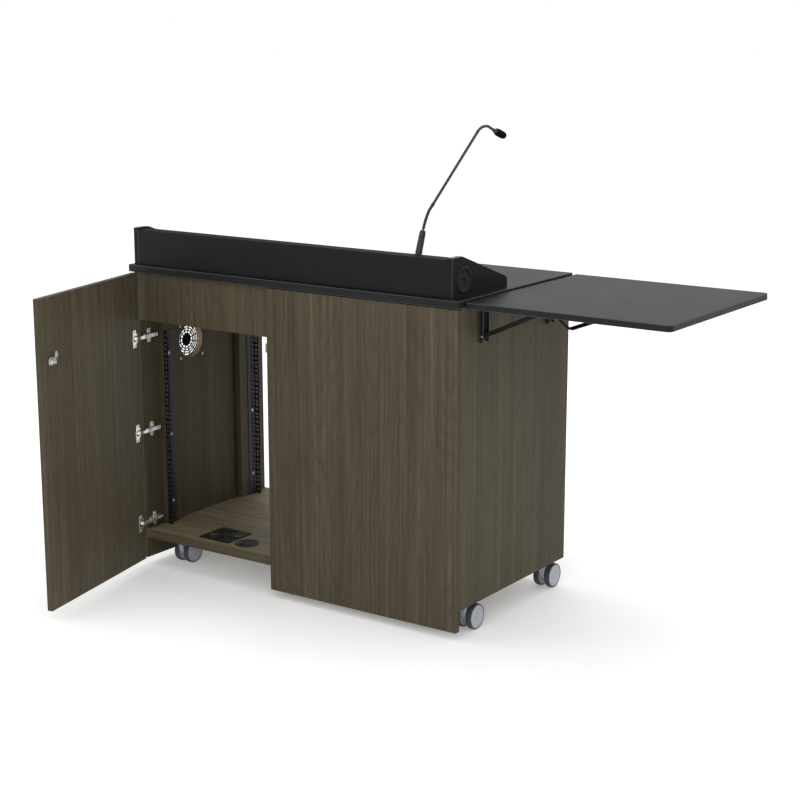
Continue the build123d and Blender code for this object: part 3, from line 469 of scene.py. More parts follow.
def rounded(points, radii, steps):
    """Polygon with rounded corners; radii is one radius or a list with one per corner."""
    outline = []
    for i, point in enumerate(points):
        corner = Vector(point)
        before, after = Vector(points[i - 1]), Vector(points[(i + 1) % len(points)])
        radius = radii[i] if isinstance(radii, (list, tuple)) else radii
        if radius <= 0:
            outline.append(tuple(corner))
            continue
        to_before, to_after = (before - corner).normalized(), (after - corner).normalized()
        angle = math.acos(max(-1, min(1, to_before.dot(to_after))))
        # the arc takes at most half of either side
        reach = min(radius / math.tan(angle / 2),
                    (before - corner).length * 0.49, (after - corner).length * 0.49)
        radius = reach * math.tan(angle / 2)
        centre = corner + (to_before + to_after).normalized() * (radius / math.sin(angle / 2))
        start, end = corner + to_before * reach, corner + to_after * reach
        start_angle = math.atan2(start.y - centre.y, start.x - centre.x)
        end_angle = math.atan2(end.y - centre.y, end.x - centre.x)
        sweep_angle = (end_angle - start_angle + math.pi) % (2 * math.pi) - math.pi
        for j in range(steps + 1):
            angle = start_angle + sweep_angle * j / steps
            outline.append((centre.x + radius * math.cos(angle),
                            centre.y + radius * math.sin(angle)))
    return outline


# ---------------------------------------------------------------------------
# mesh builders
# ---------------------------------------------------------------------------
def to_mesh(bm, name="part"):
    mesh = bpy.data.meshes.new(name)
    bm.to_mesh(mesh)
    bm.free()
    return mesh


def box(dx, dy, dz, bevel=0.7, segments=3):
    bm = bmesh.new()
    bmesh.ops.create_cube(bm, size=1.0)
    bmesh.ops.scale(bm, vec=(dx, dy, dz), verts=bm.verts)
    bmesh.ops.bevel(bm, geom=list(bm.edges), offset=bevel, segments=segments, profile=0.5,
                    affect="EDGES")
    return to_mesh(bm)


def plate(loops, thickness, bevel=0.3, resolution=0):
    """Closed loops in the local XY plane, solid from z 0 to thickness; inner loops are holes."""
    curve = bpy.data.curves.new("outline", "CURVE")
    curve.dimensions = "2D"
    curve.fill_mode = "BOTH"
    for points in loops:
        spline = curve.splines.new("POLY")
        spline.points.add(len(points) - 1)
        for target, point in zip(spline.points, points):
            target.co = (point[0], point[1], 0, 1)
        spline.use_cyclic_u = True
    bevel = min(bevel, thickness * 0.45)
    curve.extrude = thickness / 2 - bevel
    curve.bevel_depth = bevel
    curve.bevel_resolution = resolution
    curve.offset = -bevel
    ob = bpy.data.objects.new("outline", curve)
    scene.collection.objects.link(ob)
    depsgraph = bpy.context.evaluated_depsgraph_get()
    mesh = bpy.data.meshes.new_from_object(ob.evaluated_get(depsgraph))
    bpy.data.objects.remove(ob)
    bpy.data.curves.remove(curve)
    bm = bmesh.new()
    bm.from_mesh(mesh)
    bpy.data.meshes.remove(mesh)
    bmesh.ops.remove_doubles(bm, verts=bm.verts, dist=1e-3)
    bmesh.ops.dissolve_degenerate(bm, edges=bm.edges, dist=1e-4)
    bmesh.ops.translate(bm, vec=(0, 0, thickness / 2), verts=bm.verts)
    bmesh.ops.recalc_face_normals(bm, faces=bm.faces)
    return to_mesh(bm)


def loft(sections, closed=False):
    """Skin through equal sections; a one-point section makes a tip, open ends get capped."""
    bm = bmesh.new()
    rows = [[bm.verts.new(point) for point in section] for section in sections]
    for a, b in zip(rows, rows[1:] + (rows[:1] if closed else [])):
        sides = max(len(a), len(b))
        for i in range(sides):
            j = (i + 1) % sides
            if len(a) == 1:
                bm.faces.new((a[0], b[j], b[i]))
            elif len(b) == 1:
                bm.faces.new((a[i], a[j], b[0]))
            else:
                bm.faces.new((a[i], a[j], b[j], b[i]))
    if not closed:
        for row in (rows[0], rows[-1]):
            if len(row) > 1:
                bm.faces.new(row)
    bmesh.ops.recalc_face_normals(bm, faces=bm.faces)
    return to_mesh(bm)


def revolved(profile, segments):
    return [[(x, y, height) for x, y in circle(0, 0, radius, segments)] if radius > 1e-6
            else [(0, 0, height)] for radius, height in profile]


def lathe(profile, segments):
    """(radius, height) profile from axis to axis, revolved about local Z."""
    return loft(revolved(profile, segments))


def ring(profile, segments):
    """Closed (radius, height) profile revolved about local Z."""
    return loft(revolved(profile, segments), closed=True)


def band(inner, outer, low, high, segments):
    """Ring of rectangular section."""
    return ring([(inner, low), (outer, low), (outer, high), (inner, high)], segments)


def sweep(points, radii, sides):
    """Round tube through points, each with its own radius."""
    points = [Vector(point) for point in points]
    last = len(points) - 1
    tangents = [(points[min(i + 1, last)] - points[max(i - 1, 0)]).normalized()
                for i in range(last + 1)]
    side = tangents[0].orthogonal().normalized()
    sections = []
    for point, radius, tangent in zip(points, radii, tangents):
        side = (side - tangent * side.dot(tangent)).normalized()
        up = tangent.cross(side)
        angles = [2 * math.pi * k / sides for k in range(sides)]
        sections.append([point + radius * (side * math.cos(a) + up * math.sin(a)) for a in angles])
    return loft(sections)


# ---------------------------------------------------------------------------
# pieces
# ---------------------------------------------------------------------------
class Piece:
    """One object gathered from meshes; it stands for the named CAD nodes."""

    def __init__(self, name, slot, *stands_for, body="cabinet"):
        self.name, self.slot, self.stands_for, self.body = name, slot, stands_for, body
        self.bm = bmesh.new()
        self.materials = []

    def index(self, material):
        if material not in self.materials:
            self.materials.append(material)
        return self.materials.index(material)

    def add(self, mesh, at, material, smooth=True):
        """material may be a rule(local centre, local normal) that picks one for each face."""
        picks = [material(f.center.copy(), f.normal.copy()) if callable(material) else material
                 for f in mesh.polygons]
        mesh.transform(TO_METRES @ at)
        first = len(self.bm.faces)
        self.bm.from_mesh(mesh)
        bpy.data.meshes.remove(mesh)
        self.bm.faces.ensure_lookup_table()
        for face, pick in zip(self.bm.faces[first:], picks):
            face.material_index = self.index(pick)
            face.smooth = smooth
        return self

    def done(self, sharp_angle=32.0):
        mesh = to_mesh(self.bm, self.name)
        for material in self.materials:
            mesh.materials.append(material)
        # broad faces stay truly flat
        smooth = [face.use_smooth and not face.area > 1.5e-4 for face in mesh.polygons]
        mesh.set_sharp_from_angle(angle=math.radians(sharp_angle))
        mesh.polygons.foreach_set("use_smooth", smooth)
        mesh.update()
        ob = bpy.data.objects.new(self.name, mesh)
        scene.collection.objects.link(ob)
        if self.body:
            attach(ob, self.body)
        if self.stands_for:
            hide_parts(*self.stands_for)
        return ob


def edged_top(centre, normal):
    """Black top and bottom, a painted highlight line on the eased edges, banding on the sides."""
    if abs(normal.z) > 0.9:
        return BLACK_TOP
    return BLACK_PAINTED_HIGHLIGHT if abs(normal.z) > 0.25 else BLACK_EDGE


def board(name, slot, lo, hi, thin, face, first_edge, second_edge):
    """Straight board, thin along axis number thin; its other axes take the edge bands."""
    lo, hi = Vector(lo), Vector(hi)
    bands = [first_edge, second_edge]
    bands.insert(thin, face)

    def rule(centre, normal):
        sizes = [abs(normal.x), abs(normal.y), abs(normal.z)]
        return bands[sizes.index(max(sizes))]

    piece = Piece(name + "_board", slot, name)
    piece.add(box(*(hi - lo)), shift(*((lo + hi) / 2)), rule, smooth=False)
    piece.done()


def dress(node, material, bevel, segments=2, line=None):
    """A CAD node that keeps its shape: softened edges, and line as the bevel's material."""
    ob = nodes[node]
    ob.data.materials.clear()
    ob.data.materials.append(material)
    weld = ob.modifiers.new("weld", "WELD")
    weld.merge_threshold = 0.00001
    soft = ob.modifiers.new("soft_edges", "BEVEL")
    soft.width = bevel * 0.001
    soft.segments = segments
    soft.limit_method = "ANGLE"
    soft.angle_limit = math.radians(35)
    soft.use_clamp_overlap = True
    if line:
        ob.data.materials.append(line)
        soft.material = len(ob.data.materials) - 1


# ---------------------------------------------------------------------------
# worktop and side shelf
# ---------------------------------------------------------------------------
piece = Piece("worktop_slab", "black_laminate", "worktop")
piece.add(plate([rect(0, 0, 1220, 635, 4)], WORKTOP_THICK, bevel=1.3, resolution=1),
          shift(z=CARCASS_TOP), edged_top, smooth=False)
piece.done()

shelf = rounded([(SHELF_LEFT, SHELF_FRONT), (SHELF_RIGHT, SHELF_FRONT),
                 (SHELF_RIGHT, SHELF_REAR), (SHELF_LEFT, SHELF_REAR)], [3, 15, 15, 3], 10)
piece = Piece("side_shelf_slab", "black_laminate", "side_shelf", body="side_shelf_leaf")
piece.add(plate([shelf], 18, bevel=1.3, resolution=1), shift(z=956.5), edged_top, smooth=False)
piece.done()


# ---------------------------------------------------------------------------
# carcass boards
# ---------------------------------------------------------------------------
def left_rule(centre, normal):
    if abs(normal.z) > 0.9:
        return WOOD_LEFT
    if math.hypot(centre.x - WALL_VENT_Y, centre.y - WALL_VENT_Z) < 56.5:
        return RAW_BOARD
    return EDGE_Z if abs(normal.x) > abs(normal.y) else EDGE_Y


def base_rule(centre, normal):
    if abs(normal.z) > 0.9:
        return WOOD_BASE
    if (math.hypot(centre.x - VENT_X, centre.y - VENT_Y) < 54
            or math.hypot(centre.x - FLOOR_GROMMET_X, centre.y - FLOOR_GROMMET_Y) < 32):
        return RAW_BOARD
    return EDGE_X


piece = Piece("left_side_board", "wood_laminate", "left_side_panel")
piece.add(plate([rect(MID_Y, (SKIRT_Z + CARCASS_TOP) / 2, DEPTH, CARCASS_TOP - SKIRT_Z),
                 circle(WALL_VENT_Y, WALL_VENT_Z, 55, 96)], BOARD, bevel=0.5),
          on_x(-SIDE_X), left_rule)
piece.done()

board("right_side_panel", "wood_laminate", (INNER_X, FRONT_Y, 86),
      (SIDE_X, REAR_Y, CARCASS_TOP), 0, WOOD_RIGHT, EDGE_Z, EDGE_Y)

# the divider's upper rear corner is notched for the rear rail
divider = [(FRONT_Y, BASE_TOP), (REAR_Y, BASE_TOP), (REAR_Y, REAR_RAIL_Z),
           (REAR_Y - BOARD, REAR_RAIL_Z), (REAR_Y - BOARD, CARCASS_TOP), (FRONT_Y, CARCASS_TOP)]
piece = Piece("centre_divider_board", "wood_laminate", "centre_divider")
piece.add(plate([divider], BOARD, bevel=0.5), on_x(DIVIDER_X),
          lambda centre, normal: WOOD_DIVIDER if abs(normal.z) > 0.9 else EDGE_Z)
piece.done()

piece = Piece("bottom_board", "wood_laminate_flat", "bottom_panel")
piece.add(plate([rect(0, MID_Y, 2 * INNER_X, DEPTH), circle(VENT_X, VENT_Y, 52, 96),
                 circle(FLOOR_GROMMET_X, FLOOR_GROMMET_Y, GROMMET_HOLE)], BASE_THICK, bevel=0.5),
          shift(z=BASE_Z), base_rule)
piece.done()

board("front_header_rail", "wood_laminate", (-INNER_X, FRONT_Y, 803.5),
      (DIVIDER_X, FRONT_Y + BOARD, CARCASS_TOP), 1, WOOD_HEADER, EDGE_Z, EDGE_X)
board("rear_top_rail", "wood_laminate_flat", (-INNER_X, REAR_Y - BOARD, REAR_RAIL_Z),
      (INNER_X, REAR_Y, CARCASS_TOP), 1, WOOD_REAR, EDGE_Z, EDGE_X)
board("right_front_panel", "wood_laminate", (-65, -314.5, SKIRT_Z), (SIDE_X, FRONT_Y, 955), 1,
      WOOD_FRONT, EDGE_Z, EDGE_X)
board("adjustable_shelf", "wood_laminate_flat", (-47.5, -265, 472.5), (587.5, 255, 490.5), 2,
      WOOD_SHELF, EDGE_Y, EDGE_X)

PIN = [(0, -8), (2.2, -8), (2.5, -7.5), (2.5, 0), (3.6, 0.05), (3.6, 1.2), (2.5, 1.4),
       (2.5, 8.2), (2.1, 8.8), (0, 8.8)]
piece = Piece("shelf_support_pins", "nickel", "shelf_pins")
for y in (-220.0, 210.0):
    for x, direction in ((INNER_X, -X), (DIVIDER_X + BOARD, X)):
        piece.add(lathe(PIN, 24), along((x, y, 470), direction, Y), NICKEL)
piece.done()

piece = Piece("rack_cleat_strips", "wood_laminate", "rack_cleats")
for x0, x1 in ((-INNER_X, RACK_XS[0]), (RACK_XS[1], DIVIDER_X)):
    for y0, y1, height in ((RACK_YS[0], -150.0, 679.5), (158.0, RACK_YS[1], 734.0)):
        piece.add(box(x1 - x0, y1 - y0, height),
                  shift((x0 + x1) / 2, (y0 + y1) / 2, BASE_TOP + height / 2),
                  lambda centre, normal: WOOD_CLEAT if abs(normal.x) > 0.9 else EDGE_Z,
                  smooth=False)
piece.done()

# ---------------------------------------------------------------------------
# riser
# ---------------------------------------------------------------------------
# cheek outline (y, z)
CHEEK = rounded([(-299.8, WORKTOP_TOP), (-299.8, SLOPE_TOP[1]), SLOPE_TOP, SLOPE_FOOT,
                 (-10.8, 1004.5), (-10.8, WORKTOP_TOP)], [0, 1.5, 14, 4, 4, 0], 8)


def left_cheek_rule(centre, normal):
    """A painted highlight line on the front arrises, away from the grommet hole."""
    hole = math.hypot(centre.x - CHEEK_GROMMET_Y, centre.y - CHEEK_GROMMET_Z)
    if 0.3 < abs(normal.z) <= 0.9 and -0.95 <= normal.x < -0.5 and hole > 35:
        return BLACK_PAINTED_HIGHLIGHT
    return BLACK


def right_cheek_rule(centre, normal):
    """A painted highlight line on the right arrises and banding on the rear-facing edges."""
    hole = math.hypot(centre.x - CHEEK_GROMMET_Y, centre.y - CHEEK_GROMMET_Z)
    if abs(normal.z) > 0.9 or normal.x < -0.95:
        return BLACK
    if normal.z > 0.3 and hole > 35:
        return BLACK_PAINTED_HIGHLIGHT
    return BLACK_EDGE if normal.y > 0.2 else BLACK


for name, x, rule in (("riser_left_cheek", CHEEK_XS[0], left_cheek_rule),
                      ("riser_right_cheek", CHEEK_XS[1], right_cheek_rule)):
    hole = circle(CHEEK_GROMMET_Y, CHEEK_GROMMET_Z, GROMMET_HOLE)
    piece = Piece(name + "_board", "black_laminate", name)
    piece.add(plate([CHEEK, hole], BOARD, bevel=0.7), on_x(x), rule)
    piece.done()

board("riser_front_panel", "black_laminate", (RISER_X0, -299.2, WORKTOP_TOP),
      (RISER_X1, -281.2, 1088), 1, BLACK, BLACK, BLACK_CAP)
board("riser_top_cap", "black_laminate", (RISER_X0, -281.2, 1070), (RISER_X1, -252, 1088), 2,
      BLACK_CAP, BLACK_CAP, BLACK_CAP)


def reading_rule(centre, normal):
    # the eased edges take the painted highlight line
    if max(abs(normal.x), abs(normal.y), abs(normal.z)) < 0.9:
        return BLACK_PAINTED_HIGHLIGHT
    return BLACK_TOP if abs(normal.z) > 0.9 else BLACK_EDGE


READING_THICK = 15.0
slope_up = Vector((0, math.sin(SLOPE), math.cos(SLOPE)))
slope_down = Vector((0, math.cos(SLOPE), -math.sin(SLOPE)))
middle = (Vector(((RISER_X0 + RISER_X1) / 2, READING_Y, READING_Z))
          + slope_down * (READING_LENGTH / 2) - slope_up * (READING_THICK / 2))
piece = Piece("reading_board_slab", "black_laminate", "reading_board")
piece.add(box(RISER_WIDTH, READING_LENGTH, READING_THICK, bevel=0.8), axes(middle, X, slope_down),
          reading_rule, smooth=False)
piece.done()

ledge_y = READING_Y + READING_LENGTH * math.cos(SLOPE) + 0.6
ledge = rounded([(ledge_y, WORKTOP_TOP), (ledge_y + 8, WORKTOP_TOP), (ledge_y + 8, 1009),
                 (ledge_y, 1009)], [0, 0, 2.5, 2.5], 6)
piece = Piece("reading_ledge_strip", "black_laminate", "reading_ledge")
piece.add(plate([ledge], RISER_WIDTH, bevel=0.6), on_x(RISER_X0), BLACK_EDGE)
piece.done()

# ---------------------------------------------------------------------------
# cable grommets: one on each cheek's outer face, one in the cabinet floor
# ---------------------------------------------------------------------------
cheek_grommets = [
    along((CHEEK_XS[1] + BOARD, CHEEK_GROMMET_Y, CHEEK_GROMMET_Z), X, Y),
    along((CHEEK_XS[0], CHEEK_GROMMET_Y, CHEEK_GROMMET_Z), -X, -Y)]
floor_grommet = along((FLOOR_GROMMET_X, FLOOR_GROMMET_Y, BASE_TOP), Z, X)

RIM = [(27.5, -16), (30.0, -16), (30.0, 0.0), (38.0, 0.0), (38.0, 0.9), (37.4, 1.7), (36.0, 2.3),
       (33.0, 2.4), (29.6, 2.2), (28.6, 1.6), (28.0, 0.6), (27.5, -0.6)]
piece = Piece("grommet_rims", "black_plastic", "cable_grommet_rings")
for at in (*cheek_grommets, floor_grommet):
    piece.add(ring(RIM, 80), at, BLACK_PLASTIC)
piece.done(50)


def petal(start, tip=2.4, outer=25.0, gap=0.55, steps=8):
    """An eighth of a disc, narrowed by gap on both sides, with its tip near the centre."""
    width = math.pi / 4
    trim = gap / outer
    points = []
    for i in range(steps + 1):
        angle = min(max(start + width * i / steps, start + trim), start + width - trim)
        points.append((outer * math.cos(angle), outer * math.sin(angle)))
    middle_angle = start + width / 2
    points.append((tip * math.cos(middle_angle), tip * math.sin(middle_angle)))
    return points


INSERT = [(24.6, -0.6), (27.3, -0.6), (27.3, 1.5), (26.6, 1.9), (25.2, 1.7), (24.6, 1.2)]
piece = Piece("grommet_flaps", "black_plastic", "cable_grommet_inserts")
for at in cheek_grommets:
    piece.add(ring(INSERT, 72), at, BLACK_PLASTIC)
    for k in range(8):
        flap = petal(math.pi / 8 + k * math.pi / 4)
        piece.add(plate([flap], 1.4, bevel=0.35), at @ shift(z=-0.3), FLAP_RUBBER)
piece.done()

cable_slot = rounded([(-10, -25.5), (10, -25.5), (10, -16.5), (-10, -16.5)], 4.4, 6)
piece = Piece("floor_grommet_lid", "black_plastic", "floor_grommet_cap")
piece.add(plate([circle(0, 0, 27.3, 80), cable_slot], 3.4, bevel=0.6),
          floor_grommet @ shift(z=-1.5), BLACK_PLASTIC)
piece.add(band(19.2, 20.8, 1.8, 2.25, 64), floor_grommet, BLACK_PLASTIC)
piece.done()


# ---------------------------------------------------------------------------
# ventilation
# ---------------------------------------------------------------------------
def arc_slot(radius, start, half_width=2.6, half_web=4.5, steps=14):
    """Quarter-circle slot in the floor grille, trimmed to leave webs between quarters."""
    points = []
    for edge, order in ((radius + half_width, range(steps + 1)),
                        (radius - half_width, range(steps, -1, -1))):
        trim = math.asin(half_web / edge)
        for i in order:
            angle = start + trim + (math.pi / 2 - 2 * trim) * i / steps
            points.append((VENT_X + edge * math.cos(angle), VENT_Y + edge * math.sin(angle)))
    return points


GRILLE_THICK = 3.0
slots = [arc_slot(radius, math.pi / 4 + k * math.pi / 2)
         for radius in (20.5, 29.5, 38.5, 47.5) for k in range(4)]
piece = Piece("floor_vent_plate", "black_plastic", "floor_vent_grille")
piece.add(plate([rect(VENT_X, VENT_Y, 120, 120, 5)] + slots, GRILLE_THICK, bevel=0.45),
          shift(z=BASE_TOP), BLACK_PLASTIC)
piece.done()

# guard on the left side's outer face: rings, a centre disc, spokes and four screw eyes
EYE = [(2.4, -0.9), (5.2, -0.9), (5.4, 0), (5.2, 0.9), (2.4, 0.9)]
guard_at = along((-SIDE_X - 1.6, WALL_VENT_Y, WALL_VENT_Z), -X, Y)
piece = Piece("wall_vent_wire_guard", "black_steel", "wall_vent_guard")
for radius, half_width in ((29.6, 1.9), (37.6, 1.9), (45.6, 1.9), (53.8, 2.0)):
    piece.add(band(radius - half_width, radius + half_width, -0.9, 0.9, 72), guard_at, GUARD)
piece.add(lathe([(0, -0.9), (20.8, -0.9), (21.5, -0.4), (21.5, 0.4), (20.2, 1.0), (0, 1.3)], 56),
          guard_at, GUARD)
for k in range(12):
    angle = math.radians(15 + 30 * k)
    out = Vector((math.cos(angle), math.sin(angle), 0))
    piece.add(sweep([out * 19 - Z * 0.2, out * 36 + Z * 0.1, out * 55 - Z * 0.2], [1.9] * 3, 8),
              guard_at, GUARD)
for k in range(4):
    angle = math.radians(45 + 90 * k)
    out = Vector((math.cos(angle), math.sin(angle), 0))
    piece.add(sweep([out * 19, out * 45, out * 69.5], [1.25] * 3, 10), guard_at, GUARD)
    piece.add(ring(EYE, 28), guard_at @ shift(*(out * 74.25)), GUARD)
piece.done(50)

dress("rack_rails", RAIL, bevel=0.35, segments=1)


# ---------------------------------------------------------------------------
# screws: pan heads with a cross recess
# ---------------------------------------------------------------------------
@functools.lru_cache(maxsize=None)
def screw_parts(radius, height):
    a, b = radius * 0.62, radius * 0.15     # half length and half width of the cross
    cross = [(-a, -b), (-b, -b), (-b, -a), (b, -a), (b, -b), (a, -b),
             (a, b), (b, b), (b, a), (-b, a), (-b, b), (-a, b)]
    head = plate([circle(0, 0, radius, 28), cross], height,
                 bevel=min(0.42 * height, 0.24 * radius), resolution=2)
    floor_top = height * 0.35
    floor = lathe([(0, 0.02), (radius * 0.75, 0.02), (radius * 0.75, floor_top), (0, floor_top)], 20)
    return head, floor


# recess colours the floor of the cross recess; its default is painted shade
def put_screw(piece, at, radius, height, material=NICKEL, recess=NICKEL_PAINTED_SHADE):
    for part, finish in zip(screw_parts(radius, height), (material, recess)):
        piece.add(part.copy(), at, finish)


piece = Piece("cabinet_screws", "zinc_steel", "pan_head_screws")
screw_numbers = itertools.count(1)


def drive(at, *size_and_finish):
    """Put in the next cabinet screw, each turned differently."""
    put_screw(piece, turned(at, (37 * next(screw_numbers)) % 90), *size_and_finish)


for z in HINGE_ZS:
    for dz in (-16, 16):
        drive(along((ARM_X, MOUNT_Y, z + dz), X, Y), 3.8, 2.2)

# rack holes: 14 units of three holes each, centred in the rail's height
RACK_UNITS, RACK_UNIT, RAIL_HEIGHT = 14, 44.45, 637
hole_zs = [BASE_TOP + (RAIL_HEIGHT - RACK_UNITS * RACK_UNIT) / 2 + unit * RACK_UNIT + offset
           for unit in range(RACK_UNITS) for offset in (6.35, 22.225, 38.1)]
for y, inward_y in zip(RACK_YS, (1, -1)):
    for x, inward_x in zip(RACK_XS, (1, -1)):
        for z in (682.0, 423.0, 191.0):
            hole_z = min(hole_zs, key=lambda hole: abs(hole - z))
            drive(along((x + inward_x * 2, y + inward_y * 22, hole_z), (inward_x, 0, 0), Y),
                  5.0, 2.4, ZINC)

# the side vent's screws reach through the board to the guard
SHANK = [(0, 0), (1.9, 0), (1.9, -19.6), (1.2, -20.2), (0, -20.2)]
for dy in (-VENT_SCREW, VENT_SCREW):
    for dz in (-VENT_SCREW, VENT_SCREW):
        at = along((-INNER_X, WALL_VENT_Y + dy, WALL_VENT_Z + dz), X, Y)
        drive(at, 4.2, 2.2)
        piece.add(lathe(SHANK, 16), at, ZINC)

for dx in (-VENT_SCREW, VENT_SCREW):
    for dy in (-VENT_SCREW, VENT_SCREW):
        drive(along((VENT_X + dx, VENT_Y + dy, BASE_TOP + GRILLE_THICK), Z, X),
              3.0, 1.6, STEEL, STEEL)
for y in BRACKET_YS:
    for z in (928.0, 888.0):
        drive(along((609, y, z), X, Y), 4.2, 2.0, STEEL, STEEL)
for x, y in CASTERS.values():
    for dx in (-22, 22):
        for dy in (-22, 22):
            at = along((min(x, CASTER_PLATE_MAX_X) + dx, y + dy, CASTER_TOP), -Z, X)
            drive(at, 4.2, 2.2, ZINC)
piece.done()

# ---------------------------------------------------------------------------
# concealed hinges
# ---------------------------------------------------------------------------
# mounting plate outline: (y, z) from its centre, corner radius
MOUNT = [(-24, -6.5, 3), (-9, -6.5, 4), (-7, -23, 5), (7, -23, 5), (9, -6.5, 4), (32, -6.5, 3),
         (32, 6.5, 3), (9, 6.5, 4), (7, 23, 5), (-7, 23, 5), (-9, 6.5, 4), (-24, 6.5, 3)]
piece = Piece("hinge_wing_plates", "nickel", "hinge_mounting_plates")
for z in HINGE_ZS:
    wing = rounded([(MOUNT_Y + dy, z + dz) for dy, dz, _ in MOUNT], [r for _, _, r in MOUNT], 5)
    piece.add(plate([wing], MOUNT_THICK, bevel=0.6), on_x(-INNER_X), NICKEL)
piece.done()

# arm cheek outline: (x from ARM_X, y, corner radius); roof line: (x from ARM_X, y)
ARM = [(0, -291, 0.5), (0, -229, 1), (3.5, -227, 3), (8.5, -231, 4), (9.5, -258, 6),
       (13.0, -271, 8), (13.0, -291, 1)]
ROOF = [(8.5, -229.5), (9.6, -258), (13.2, -271.5), (13.2, -291)]
ARM_PIN = [(0, -6.6), (1.6, -6.6), (1.9, -6.2), (1.9, 6.2), (1.6, 6.6), (0, 6.6)]
arm_outline = rounded([(ARM_X + dx, y) for dx, y, _ in ARM], [r for _, _, r in ARM], 5)
piece = Piece("hinge_arm_bodies", "nickel", "hinge_arms")
for z in HINGE_ZS:
    for low in (z - 6, z + 4.6):
        piece.add(plate([arm_outline], 1.4), shift(z=low), NICKEL)
    roof = [Vector((ARM_X + dx, y, z)) for dx, y in ROOF]
    for start, end in zip(roof, roof[1:]):
        run = end - start
        piece.add(box(10.6, 1.3, run.length + 0.9, bevel=0.25, segments=2),
                  along((start + end) / 2, run, Z), NICKEL, smooth=False)
    for y, radius in ((-239.0, 3.4), (-252.0, 2.7)):
        put_screw(piece, along((ARM_X + 9.4, y, z), X, Y), radius, 1.7)
    piece.add(lathe(ARM_PIN, 20), along((ARM_X + 8, -284.0, z), Z, X), NICKEL)
piece.done()

# cup flange, local x toward the door's free edge; the thin lip is on the hinge side
FLANGE = rounded([(-4.3, -28), (14, -28), (14, 28), (-4.3, 28),
                  (-4.3, 8.4), (11.6, 8.4), (11.6, -8.4), (-4.3, -8.4)],
                 [2.5, 2.5, 2.5, 2.5, 0, 2.5, 2.5, 0], 5)
LIP = rounded([(-4.3, -16), (-4.3, -8.4), (-11.6, -8.4), (-11.6, 8.4),
               (-4.3, 8.4), (-4.3, 16), (-14, 14), (-14, -14)],
              [0, 0, 2.5, 2.5, 0, 0, 4, 4], 5)
piece = Piece("hinge_cup_flanges", "nickel", "hinge_cups", body="left_door")
for z in HINGE_ZS:
    face = along(door_at(CUP_U, DOOR_INNER_V, z), V_DIR, U_DIR)
    piece.add(plate([FLANGE], 1.6, bevel=0.45), face, NICKEL)
    piece.add(plate([LIP], 0.38, bevel=0.12), face, NICKEL)
    piece.add(band(16.4, 17.4, -11.2, 0.2, 56), face, NICKEL)
    # painted shade: a near-black disc on the cup's floor
    piece.add(lathe([(0, -11.4), (16.8, -11.4), (16.8, -10.2), (0, -10.2)], 48), face, NICKEL_PAINTED_SHADE)
    for dy in (-22.5, 22.5):
        put_screw(piece, turned(face @ shift(5.0, dy, 1.5), 4), 3.6, 1.5)
piece.done()

# the hinge links run from the arm's nose into the cup, along a cubic Bezier
LINK_STEPS = 14
for number, z in enumerate(HINGE_ZS, 1):
    start, pull_start = Vector((ARM_X + 10.8, -288.0, z)), Vector((ARM_X + 13.5, -306.0, z))
    end, pull_end = door_at(21.0, 16.0, z), door_at(17.0, 34.0, z)
    path = []
    for k in range(LINK_STEPS + 1):
        t = k / LINK_STEPS
        path.append(start * (1 - t) ** 3 + pull_start * 3 * t * (1 - t) ** 2
                    + pull_end * 3 * t * t * (1 - t) + end * t ** 3)
    sections = []
    for k, point in enumerate(path):
        run = (path[min(k + 1, LINK_STEPS)] - path[max(k - 1, 0)]).normalized()
        side = Z.cross(run)
        w = 5.6 if k < 5 else 5.2       # half width
        section = [(-1.0, -w), (1.0, -w), (1.5, -w + 0.6), (1.5, w - 0.6),
                   (1.0, w), (-1.0, w), (-1.5, w - 0.6), (-1.5, -w + 0.6)]
        sections.append([point + side * x + Z * y for x, y in section])
    piece = Piece(f"hinge_link_{number}", "nickel", body=None)
    link = piece.add(loft(sections), shift(), NICKEL).done()
    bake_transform(link)

# ---------------------------------------------------------------------------
# left door: an inner layer bored for the cups and a whole outer layer
# ---------------------------------------------------------------------------
cup_holes = [(CUP_U, z, CUP_HOLE) for z in HINGE_ZS]
CUP_LAYER = 12.0


def door_rule(centre, normal):
    if abs(normal.z) > 0.9:
        return WOOD_DOOR
    for u, z, radius in cup_holes + [(LOCK_U, LOCK_Z, LOCK_HOLE)]:
        if math.hypot(centre.x - u, centre.y - z) < radius + 1.5:
            return RAW_BOARD
    return EDGE_Z if abs(normal.x) > abs(normal.y) else EDGE_X


# local z looks out of the door's outer face
door_frame = axes(door_at(0, DOOR_INNER_V, 0), U_DIR, Z)
door_loops = [rect(266.05, (DOOR_Z0 + DOOR_Z1) / 2, 538.5, DOOR_Z1 - DOOR_Z0),
              circle(LOCK_U, LOCK_Z, LOCK_HOLE, 40)]
cup_loops = [circle(u, z, radius, 56) for u, z, radius in cup_holes]
piece = Piece("left_door_board", "wood_laminate", "left_door_panel", body="left_door")
piece.add(plate(door_loops, BOARD - CUP_LAYER, bevel=0.5), door_frame @ shift(z=CUP_LAYER),
          door_rule)
piece.add(plate(door_loops + cup_loops, CUP_LAYER, bevel=0.5), door_frame, door_rule)
piece.done()

# ---------------------------------------------------------------------------
# cam lock and its keeper
# ---------------------------------------------------------------------------
inner = along(door_at(LOCK_U, DOOR_INNER_V, LOCK_Z), V_DIR, -U_DIR)
outer = along(door_at(LOCK_U, DOOR_OUTER_V, LOCK_Z), -V_DIR, U_DIR)

